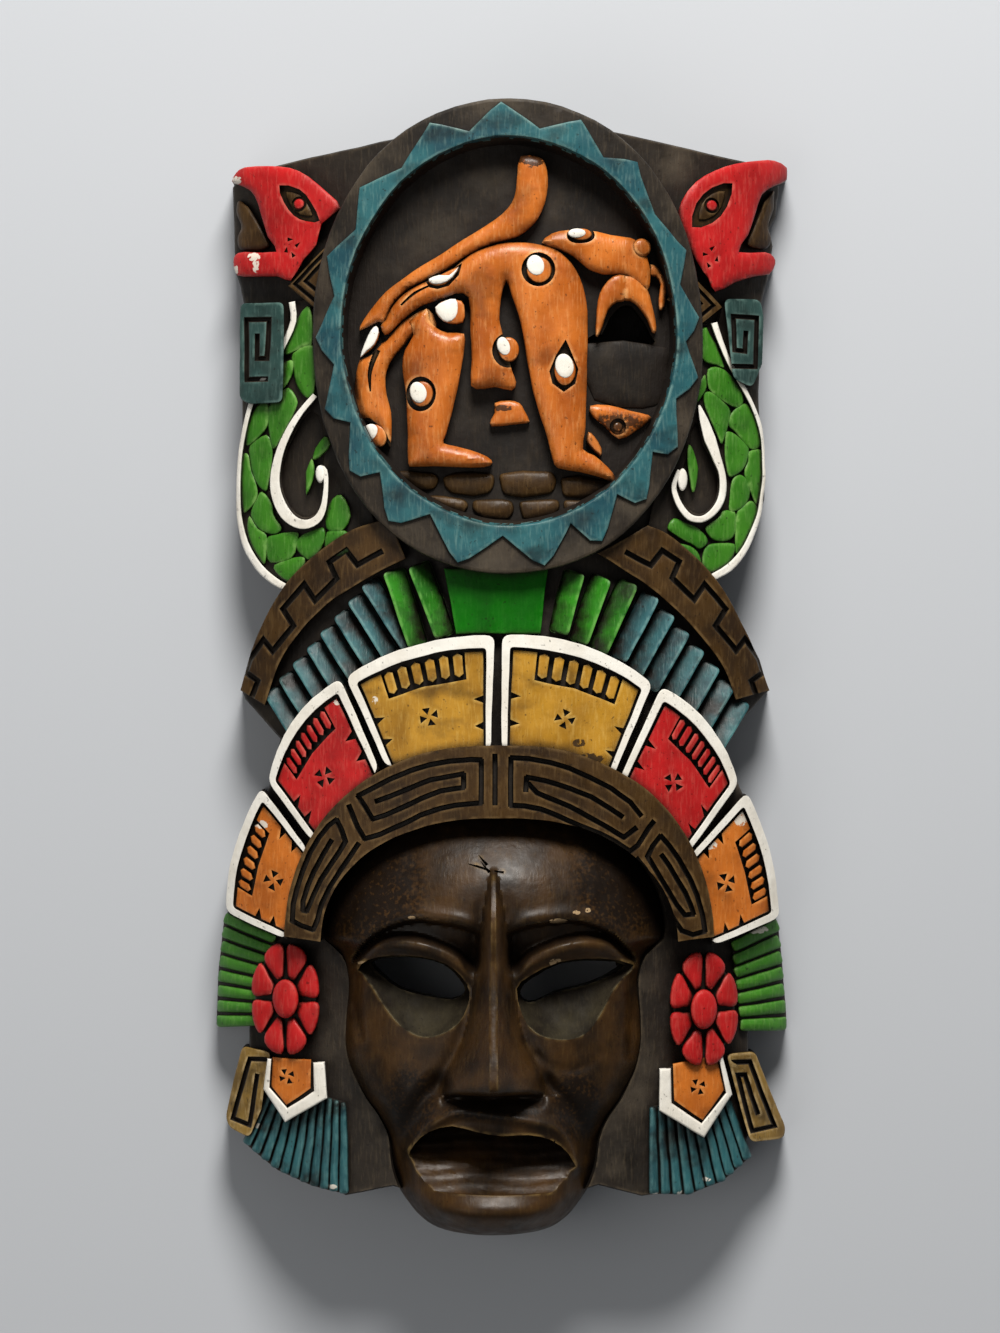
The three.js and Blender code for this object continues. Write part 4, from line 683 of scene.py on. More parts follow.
def face_height(x, y):
    """The height of the face over a place, before its hollows are scooped."""
    side = abs(x - FACE_AXIS)
    across = min(1, side / stationed(y, FACE_WIDTH))
    edge = stationed(y, FACE_SIDE)
    z = edge + (stationed(y, FACE_MIDDLE) - edge) * (1 - across ** stationed(y, FACE_ROUND)) ** FACE_FULLNESS
    # A deep cut under the brow, and the rolled lid below it
    brow, lid = stationed(side, BROW_LINE), stationed(side, LID_LINE)
    beside_nose = smoothstep(4, 8, side) * (1 - smoothstep(53, 60, side))
    z -= BROW_CUT * beside_nose * smoothstep(-0.4, 1.8, brow - y) * (1 - smoothstep(-4.6, 0.2, lid - y))
    z += LID_ROLL * beside_nose * (hump(y, lid - 2.4, 2.6) + BROW_ROLL * hump(y, brow + 2.6, 2.6))
    # The nose: a wedge that spreads downwards from a narrow ridge, cut off square below
    if NOSE_FOOT < y < NOSE_TOP:
        half, ridge = stationed(y, NOSE_HALF_WIDTH), stationed(y, RIDGE_HALF_WIDTH)
        flank = 1 - max(0, side - ridge) / (half - ridge)
        z += stationed(y, NOSE_HEIGHT) * max(0, flank) ** (0.74 + 0.3 * smoothstep(-138, -158, y))
        z -= NOSE_CREASE * hump(side, half + 1.5, 3) * smoothstep(-84, -100, y)
    for line, height, width in FACE_LINES:
        reach = width * 2.2
        if min(p[0] for p in line) - reach < x < max(p[0] for p in line) + reach:
            if min(p[1] for p in line) - reach < y < max(p[1] for p in line) + reach:
                z += height * hump(to_outline(x, y, line, False), 0, width)
    return z


def face_outline(share, step=3):
    count = int((FACE_TOP - FACE_FOOT) / step)
    rows = [FACE_TOP + (FACE_FOOT - FACE_TOP) * i / count for i in range(count + 1)]

    def side(sign):
        return [(FACE_AXIS + sign * share * stationed(y, FACE_WIDTH), y) for y in rows]
    return side(-1) + side(1)[::-1]


def face_block(columns=150, rows=220):
    bm = bmesh.new()
    bmesh.ops.create_grid(bm, x_segments=columns, y_segments=rows, size=1)
    for vert in bm.verts:
        u, v = vert.co.x, vert.co.y
        y = FACE_FOOT + (FACE_TOP - FACE_FOOT) * (v + 1) / 2
        x = FACE_AXIS + u * stationed(y, FACE_WIDTH)
        vert.co = Vector((x, y, face_height(x, y)))
    rim = [edge for edge in bm.edges if edge.is_boundary]
    made = bmesh.ops.extrude_edge_only(bm, edges=rim)["geom"]
    for vert in [g for g in made if isinstance(g, bmesh.types.BMVert)]:
        vert.co.z = 0
    bmesh.ops.contextual_create(bm, geom=[e for e in bm.edges if e.is_boundary])
    bmesh.ops.recalc_face_normals(bm, faces=bm.faces)
    return bm


def scooped(outline, deepest, rise, cup, ridges, pitch, paint, lip=11):
    """A cutter whose floor climbs from its upper end and turns up near its outline."""
    upper = max(y for _, y in outline)
    bm = meshed(raw_form(outline, deepest, OVER_NOSE, paint), pitch)
    for vert in bm.verts:
        if vert.co.z < deepest + 1:
            down = upper - vert.co.y
            near = 1 - min(1, to_outline(vert.co.x, vert.co.y, outline) / lip)
            vert.co.z += down * rise + cup * near * near * smoothstep(2, 16, down)
            vert.co.z += ridges * math.sin(vert.co.y * 1.5 + math.sin(vert.co.x / 6))
    return bm


HOLLOW = {"x": -3, "y": -138, "half_width": 52, "half_height": 66, "depth": 44}


def back_hollow():
    bm = bmesh.new()
    bmesh.ops.create_uvsphere(bm, u_segments=32, v_segments=20, radius=1)
    for vert in bm.verts:
        vert.co = Vector((HOLLOW["x"] + vert.co.x * HOLLOW["half_width"],
                          HOLLOW["y"] + vert.co.y * HOLLOW["half_height"], vert.co.z * HOLLOW["depth"]))
    for face in bm.faces:
        face.material_index = BARE
    return bm


def hanging_pocket():
    return raw_form(oval(0, 168, 14, 8, 20, 0, 0.8), -10, 10, BARE)


def make_face():
    cutters = [scooped(eye, deepest=49, rise=0.5, cup=7, ridges=0, pitch=2.2, paint=STAIN) for eye in EYES]
    cutters.append(scooped(MOUTH, deepest=50, rise=0.68, cup=2, ridges=0.3, pitch=1.4, paint=PAINT))
    cutters += [raw_form(slit, 5, OVER_NOSE) for slit in SLITS] + [back_hollow()]
    for path in FOREHEAD_CUTS:
        line = drawn(path, FACE_SHEET)
        level = max(face_height(x, y) for x, y in line)
        cutters.append(groove(line, [0.5, 1.4, 0.8] if len(line) > 2 else [0.6, 1.4], level, 2.6))
    bm = cut(face_block(), cutters)
    bmesh.ops.triangulate(bm, faces=[f for f in bm.faces if len(f.verts) > 4])
    piece("face", [bm], face_wax, lifted=False, straying=0.6, stain=hollow_wax)


make_face()


# The board behind the relief

# The dark gap between the cat's jaws
MAW = [
    (1060, 840), (1100, 800), (1140, 800), (1180, 850), (1206, 900), (1206, 946), (960, 946), (1000, 900),
    (1030, 900)]


def make_board():
    crown_line = [
        (-107, 160), (-107.8, 193.6), (-104, 199), (-93.4, 200.8), (-35.4, 212.4), (3, 214), (41.4, 214.4),
        (97.4, 203.2), (112, 200), (111.4, 190), (110.2, 181.6), (107.4, 176.4), (109, 170), (107, 157),
        (104.2, 147), (103, 112), (104, 72), (97, 46), (85, 36)]
    waist = [
        (92, 26), (97.4, 15.6), (103.4, 3.6), (107.4, -8.4), (103, -13), (87, -30), (96.5, -50), (109, -99),
        (111, -143), (98.8, -145), (98.8, -154), (111, -186), (99, -187)]
    foot = [
        (95, -198), (75.4, -208), (56, -210), (38.6, -205.6), (30, -208), (-34, -208), (-43, -206),
        (-62, -210)]
    left = [
        (-100, -189), (-103, -184), (-101, -153), (-101, -143), (-112, -142), (-109, -98), (-93, -46),
        (-88.6, -28), (-103, -12), (-104.4, -8), (-98.6, 11.6), (-91.8, 25.6), (-84.6, 34), (-98, 43),
        (-104, 66), (-103.4, 146.4), (-105, 154)]
    bm = raw_form(crown_line + waist + foot + left, 0, BOARD)
    maw = raw_form(traced(MAW, CAT_SHEET), 4.4, OVER)
    bm = cut(bm, [raw_form(face_outline(0.97), FAR_UNDER, OVER), back_hollow(), hanging_pocket(), maw])
    bm.normal_update()
    for face in bm.faces:
        if face.normal.z < -0.9 and face.calc_center_median().z < 0.01:
            face.material_index = BARE
    eased(bm, 0.8, 2, BOARD)
    meshed(bm, 4.0)
    piece("board", [bm], walnut_stain)


make_board()


# The round relief

# Middle, half width and half height of the ring's outer edge and of the sunk floor
DISC = (2.6, 131.6, 77.6, 94)
RECESS = (3, 133.6, 67, 77.2)
RING_SIDES, TOOTH_TIP_HALF_ANGLE = 72, 3.2
TOOTH_ANGLES = [92, 68, 48, 22, 5, -10, -28, -44, -61, -79, -105, -128, -145, -162, -180, -200, -220, -246]


def on_ring(ring, degrees, share):
    """A place at an angle, at a share of a ring's radius."""
    angle = math.radians(degrees)
    x, y, half_width, half_height = ring
    return (x + half_width * share * math.cos(angle), y + half_height * share * math.sin(angle))


def recess_cutter(paint):
    x, y, half_width, half_height = RECESS
    floor = oval(x, y, half_width - 3, half_height - 3, RING_SIDES)
    lip = oval(x, y, half_width + 1, half_height + 1, RING_SIDES)
    return raw_form(floor, LEVEL["recess"], LEVEL["tooth"] + 6, paint, lip)


def make_disc():
    maw = raw_form(traced(MAW, CAT_SHEET), UNDER, OVER, STAIN)
    rim = form(oval(*DISC, RING_SIDES, 0, 0.95), LEVEL["rim"], 0, 1.2, cutters=[recess_cutter(STAIN), maw],
               pitch=4)
    piece("disc_rim", [rim], walnut_stain, stain=recess_stain_and_shade)
    star = []
    for i, angle in enumerate(TOOTH_ANGLES):
        following = TOOTH_ANGLES[i + 1] if i + 1 < len(TOOTH_ANGLES) else TOOTH_ANGLES[0] - 360
        star += [on_ring(DISC, angle + TOOTH_TIP_HALF_ANGLE, 0.955), on_ring(DISC, angle, 0.985),
                 on_ring(DISC, angle - TOOTH_TIP_HALF_ANGLE, 0.955)]
        star.append(on_ring(RECESS, (angle + following) / 2, 1.05))
    teeth = form(star, LEVEL["tooth"], LEVEL["rim"] - 4, 0.5, cutters=[recess_cutter(PAINT)], pitch=3)
    piece("disc_teeth", [teeth], teal_paint)


make_disc()

# Each limb: outline on the cat's sheet, height of its top, and how far its edge is rounded over
CAT_PARTS = {
    "tail": ([
        (735, 262), (722, 330), (715, 385), (700, 430), (665, 472), (600, 518), (530, 558), (450, 610),
        (370, 660), (305, 706), (245, 752), (200, 802), (165, 850), (150, 885), (195, 868), (222, 856),
        (245, 862), (262, 806), (298, 764), (340, 730), (395, 705), (450, 676), (510, 640), (560, 606),
        (640, 576), (720, 552), (775, 512), (810, 460), (830, 400), (834, 340), (824, 285),
        (800, 262)], 17.2, 5),
    "body": ([
        (228, 872), (245, 905), (275, 885), (310, 850), (380, 800), (450, 778), (500, 757), (545, 772),
        (552, 880), (556, 1000), (555, 1092), (600, 1104), (640, 1098), (700, 1110), (716, 1080), (703, 1040),
        (692, 1000), (666, 890), (658, 850), (663, 780), (682, 712), (702, 760), (720, 810), (738, 870),
        (750, 960), (765, 1050), (778, 1120), (803, 1200), (832, 1290), (848, 1360), (868, 1392), (950, 1404),
        (1030, 1424), (1066, 1440), (1078, 1424), (1050, 1385), (1000, 1345), (958, 1322), (965, 1260),
        (970, 1180), (973, 1000), (977, 900), (977, 820), (968, 760), (950, 700), (920, 648), (880, 608),
        (840, 588), (780, 576), (720, 572), (650, 580), (580, 602), (530, 632), (490, 665), (430, 692),
        (385, 716), (330, 745), (292, 776), (262, 815), (245, 850)],
        18.4, 7),
    "rump": ([
        (250, 925), (295, 868), (345, 835), (400, 812), (430, 860), (420, 900), (348, 905), (318, 938),
        (288, 968), (258, 1010), (243, 1062), (247, 1125), (264, 1190), (266, 1250), (262, 1310), (236, 1262),
        (200, 1224), (137, 1210), (130, 1170), (127, 1100), (135, 1040), (152, 990), (180, 978), (205, 960),
        (225, 936)], 16.4, 6),
    "thigh": ([
        (348, 905), (330, 860), (395, 812), (408, 852), (432, 882), (470, 899), (530, 904), (530, 960),
        (517, 1040), (498, 1130), (482, 1200), (464, 1270), (456, 1300), (500, 1312), (550, 1326),
        (612, 1352), (630, 1374), (600, 1388), (500, 1388), (420, 1382), (345, 1382), (326, 1370),
        (326, 1280), (321, 1160), (313, 1090), (306, 1020), (316, 960)], 18.6, 7),
    "head": ([
        (812, 574), (850, 540), (905, 528), (960, 530), (1010, 533), (1060, 546), (1110, 553), (1145, 560),
        (1180, 600), (1200, 650), (1206, 700), (1196, 745), (1160, 722), (1118, 694), (1080, 690),
        (1040, 690), (1010, 682), (985, 672), (960, 652), (925, 622), (880, 600)], 18, 6),
    "near_jaw": ([
        (1112, 690), (1070, 696), (1034, 735), (1014, 785), (1008, 850), (1006, 908), (1020, 902),
        (1034, 870), (1052, 815), (1086, 786), (1112, 782), (1120, 740)], 17.4, 3.5),
    "far_jaw": ([
        (1110, 690), (1160, 700), (1196, 742), (1212, 790), (1226, 850), (1227, 892), (1212, 894),
        (1196, 850), (1166, 806), (1134, 782), (1108, 778), (1104, 730)], 17, 3.5),
    "mane": ([
        (1204, 648), (1236, 662), (1260, 700), (1267, 750), (1258, 802), (1240, 814), (1236, 775),
        (1244, 722), (1226, 692), (1202, 690)], 14.5, 2.5),
    "far_leg": ([
        (640, 1155), (690, 1146), (728, 1156), (745, 1182), (765, 1222), (740, 1230), (700, 1234),
        (630, 1240), (626, 1216), (640, 1190)], 13.4, 3),
    "far_toe": ([(976, 1258), (1000, 1275), (1026, 1318), (1022, 1346), (985, 1315), (970, 1288)], 14, 2.5),
}
CAT_GROOVES = {
    "rump": [([(216, 958), (196, 1005), (184, 1055), (187, 1112)], [2.6, 2.2, 1.6, 0.6], 2.6)],
    "body": [([(300, 800), (350, 756), (420, 722)], [0.8, 1.2, 0.6], 1.2)],
}
# Each spot: the outline of its sunk ring, of its button and of the white dab on it, and the button's height
SPOTS = [
    (oval(800, 670, 62, 62), oval(803, 672, 46, 48), oval(790, 655, 32, 38, 14, -20), 18.2),
    ([(895, 925), (918, 975), (940, 1030), (930, 1085), (888, 1114), (846, 1085), (835, 1040), (858, 985)],
     oval(892, 1036, 40, 56), oval(890, 1020, 34, 45, 14, -10), 18.2),
    (oval(372, 1122, 54, 64), oval(376, 1122, 40, 48), oval(362, 1117, 30, 40, 14, -15), 18.4),
    ([(413, 790), (440, 776), (500, 770), (545, 788), (548, 830), (538, 876), (480, 882), (440, 864),
      (418, 832)],
     [(432, 800), (470, 782), (520, 785), (532, 820), (526, 862), (480, 866), (450, 848)],
     [(425, 808), (460, 784), (498, 778), (508, 810), (500, 845), (470, 862), (440, 842)], 18.4),
    (oval(686, 966, 56, 62), oval(690, 962, 38, 44), oval(672, 950, 24, 34, 14, -20), 17.4),
    ([(386, 708), (430, 682), (470, 680), (522, 646), (508, 692), (472, 730), (432, 742), (404, 736)],
     [(398, 712), (440, 690), (510, 660), (492, 698), (456, 726), (420, 730)],
     [(400, 705), (438, 690), (474, 690), (510, 660), (484, 702), (445, 722), (412, 722)], 18),
    ([(148, 950), (215, 858), (238, 900), (230, 940), (195, 975), (146, 996)],
     [(158, 975), (178, 920), (210, 872), (224, 900), (208, 940), (180, 965)],
     [(152, 985), (168, 935), (192, 888), (212, 872), (222, 896), (205, 938), (176, 962)], 16.6),
    ([(132, 1212), (185, 1208), (232, 1242), (266, 1300), (240, 1345),
      (180, 1310)], oval(212, 1272, 36, 44, 20, -30),
     oval(185, 1262, 28, 36, 14, 40), 15.4),
    (oval(952, 548, 50, 30, 20, 0, 0.9), oval(955, 545, 36, 22), oval(938, 540, 32, 17, 14), 17.6),
]

# The stones under the cat
STONES = [
    [(262, 1398), (330, 1394), (420, 1404), (440, 1428), (424, 1466), (380, 1476), (310, 1440)],
    [(448, 1420), (500, 1404), (560, 1400), (632, 1408), (640, 1440), (622, 1482), (560, 1494), (480, 1484),
     (456, 1456)],
    [(648, 1410), (740, 1398), (850, 1402), (866, 1438), (850, 1484), (740, 1498), (664, 1488)],
    [(874, 1424), (940, 1412), (1040, 1430), (1078, 1446), (1050, 1480), (960, 1500), (884, 1496)],
    [(390, 1486), (450, 1488), (530, 1502), (548, 1528), (520, 1566), (440, 1540)],
    [(556, 1504), (650, 1500), (700, 1504), (712, 1540), (690, 1580), (600, 1576), (556, 1550)],
    [(720, 1508), (800, 1502), (870, 1504), (876, 1540), (840, 1574), (740, 1582)],
    [(884, 1506), (960, 1506), (1000, 1504), (960, 1540), (890, 1562)],
]


def make_cat():
    forms = []
    for name, (outline, level, reach) in CAT_PARTS.items():
        cutters = [groove(smooth(drawn(path, CAT_SHEET)), widths, level, depth)
                   for path, widths, depth in CAT_GROOVES.get(name, [])]
        cutters += [raw_form(drawn(ring, CAT_SHEET), level - 3.4, OVER, STAIN) for ring, _, _, _ in SPOTS]
        forms.append(form(traced(outline, CAT_SHEET), level, IN_BOARD, 0.7, cutters=cutters, pitch=1.6,
                          round_over=(reach, reach * 0.5)))
    ear = drawn(oval(1172, 590, 34, 34), CAT_SHEET)
    forms.append(form(ear, 19, 12, 0.8, pitch=1.5, round_over=(3.6, 1.8)))
    for _, button, _, level in SPOTS:
        forms.append(form(traced(button, CAT_SHEET), level, IN_BOARD, 0.4, pitch=1.4, round_over=(3, 0.9)))
    piece("spotted_cat", forms, cat_orange, stain=brown_band)
    piece("cat_spots", [
        form(traced(dab, CAT_SHEET), level + 0.5, IN_BOARD, 0.3, pitch=1.4, round_over=(2.2, 0.7))
        for _, _, dab, level in SPOTS], white_paint)
    paw = traced([(985, 1162), (1050, 1160), (1130, 1180), (1200, 1194), (1206, 1214), (1150, 1256),
                  (1090, 1282), (1042, 1240), (992, 1200)], CAT_SHEET)
    eyelet = drawn(oval(1086, 1238, 30, 30), CAT_SHEET)
    inner = drawn(oval(1086, 1238, 18, 18), CAT_SHEET)
    eyelet_cut = raw_form(eyelet, 11.5, OVER)
    piece("far_paw", [
        form(paw, 13.5, IN_BOARD, 0.8, cutters=[eyelet_cut], pitch=1.6, round_over=(4, 2)),
        form(inner, 13, IN_BOARD, 0.5, pitch=1.4, round_over=(2, 0.8))], cat_orange, stain=recess_stain_and_shade)
    piece("rocks", [
        form(rounded(drawn(stone, CAT_SHEET), 2.4), LEVEL["rock"], IN_BOARD, 0.8, pitch=2,
             round_over=(5, 2.4))
        for stone in STONES], brown_band)
    ledge = [(960, 935), (1262, 945), (1270, 1010), (1255, 1130), (1180, 1170), (1000, 1140)]
    piece("ground_ledge", [
        form(traced(ledge, CAT_SHEET), LEVEL["recess"] + 1.8, IN_BOARD, 0.3, pitch=2, round_over=(9, 1.8))],
        recess_stain_and_shade)


make_cat()


# The serpents' heads, each cut with its own knife strokes

LEFT_HEAD = [
    (-107.8, 195.6), (-106.2, 198.8), (-102.6, 200.8), (-93.4, 200.8), (-84.6, 199.6), (-76.6, 195.6),
    (-68.6, 188.8), (-63.8, 182.8), (-71.4, 176.8), (-73.4, 168.4), (-78.6, 162.8), (-83.8, 154.8),
    (-89.4, 156.8), (-103.4, 157.2), (-106.6, 158.8), (-107.4, 162.8), (-106.6, 165.6), (-102.6, 166.8),
    (-89.8, 166.4), (-93.4, 172.8), (-97.4, 185.6), (-100.6, 191.6), (-105.4, 194.4)]
LEFT_EYE = [
    (-88.6, 192.8), (-86.6, 185.6), (-82.6, 180.4), (-77.4, 178), (-72.2, 178), (-75.8, 185.6),
    (-80.6, 190.8)]
RIGHT_HEAD = [
    (70.2, 178.8), (71.4, 185.6), (77.4, 193.6), (85.4, 198.8), (93.4, 201.6), (103.4, 203.2), (109.4, 203.6),
    (114.6, 201.2), (114.6, 196.4), (109.4, 193.6), (104.2, 189.6), (101.4, 181.6), (98.6, 173.6),
    (94.6, 166.4), (105.4, 166.8), (109, 165.2), (109.8, 162.4), (107.4, 158.4), (101.4, 157.2),
    (93.4, 154.4), (85.4, 150.4), (82.6, 155.6), (77.4, 162.8), (73.4, 171.6)]
RIGHT_EYE = [(75.8, 175.6), (77.5, 185), (84, 191.5), (92.2, 193.6), (90, 184), (84, 177.5)]
LEFT_NICKS = [(290, 241), (298, 247), (287, 252), (294, 257)]
RIGHT_NICKS = [(704, 256), (711, 250), (716, 261), (708, 267)]


def make_head(name, outline, eye, pupil, nicks, muzzle):
    level = LEVEL["head"]
    cutters = [raw_form(smooth(eye, True, 2), level - 2.4, OVER, STAIN)]
    cutters += [raw_form(oval(x, y, 1.5, 0.9, 3, 40 * i), level - 1.2, OVER, STAIN)
                for i, (x, y) in enumerate(drawn(nicks))]
    head = form(smooth(outline, True, 2), level, 0, 0.9, cutters=cutters, pitch=2, round_over=(4, 1.6))
    ball = form(oval(*pupil, 2.2, 2.2, 16), level - 0.2, IN_BOARD, 0.5, pitch=1.4, round_over=(2.2, 1))
    piece(name, [head, ball], red_paint, stain=brown_band)
    inner = [((x - pupil[0]) * 0.66 + pupil[0], (y - pupil[1]) * 0.66 + pupil[1]) for x, y in eye]
    lens = form(smooth(inner, True, 2), level - 1, IN_BOARD, 0.5, cutters=[
        raw_form(oval(*pupil, 3.1, 3.1, 16), level - 3, OVER, STAIN)], pitch=1.6, round_over=(2.5, 0.8))
    gum = form(rounded(drawn(muzzle), 3), 12.5, 0, 1, pitch=2, round_over=(4, 2))
    piece(name + "_dark", [lens, gum], brown_band)


make_head("serpent_head_left", LEFT_HEAD, LEFT_EYE, (-80.6, 185), LEFT_NICKS, [
    (237, 196), (248, 206), (258, 222), (272, 246), (262, 252), (238, 250), (236, 236), (242, 226),
    (235, 212)])
make_head("serpent_head_right", RIGHT_HEAD, RIGHT_EYE, (83.8, 184.4), RIGHT_NICKS, [
    (776, 186), (764, 202), (755, 224), (745, 246), (760, 250), (770, 246), (773, 236), (768, 226),
    (775, 208)])


def key_block(name, outline, line, level, paint, width):
    cutters = [groove(line, width, level, 2.6)]
    piece(name, [form(rounded(outline, 2.5), level, 0, 0.8, cutters=cutters, pitch=3)], paint)


# Each block: outline, and the line of the spiral cut into it
KEY_BLOCKS = [
    ("spiral_block_left", [(-104.6, 146.4), (-104.6, 108), (-100, 106), (-87, 106), (-86.6, 146.4)],
     [(-93, 115.6), (-101.6, 115.6), (-101.8, 139.6), (-92.6, 139.6), (-93.4, 124), (-97.4, 124),
      (-97.4, 134)],
     LEVEL["spiral_block"], deep_teal, 2.0),
    ("spiral_block_right", [(89, 147.6), (103.4, 147.6), (104.6, 141), (104, 122), (100, 112.6), (92, 116)],
     [(91.6, 120.8), (101.2, 120.8), (101.8, 140.4), (92.4, 140.8), (92.8, 127.2), (97, 126.8), (97.4, 135)],
     LEVEL["spiral_block"], deep_teal, 2.0),
    ("ear_block_left",
     [(-103.8, -151), (-92, -153), (-96, -176), (-101, -187.6), (-109.6, -184), (-111, -180)],
     [(-93.6, -156), (-100.6, -156), (-108, -180.4), (-101, -182.6), (-99, -171), (-97.6, -162)],
     LEVEL["key_block"], key_ochre, 1.8),
    ("ear_block_right", [(89.8, -153.6), (101.4, -153.2), (114.2, -184), (113.4, -188.6), (99.8, -189.2)],
     [(92, -157), (99.4, -157), (109.6, -183), (100.6, -184.6), (94.6, -162), (97.4, -162), (103, -178)],
     LEVEL["key_block"], key_ochre, 1.8),
]

for block in KEY_BLOCKS:
    key_block(*block)

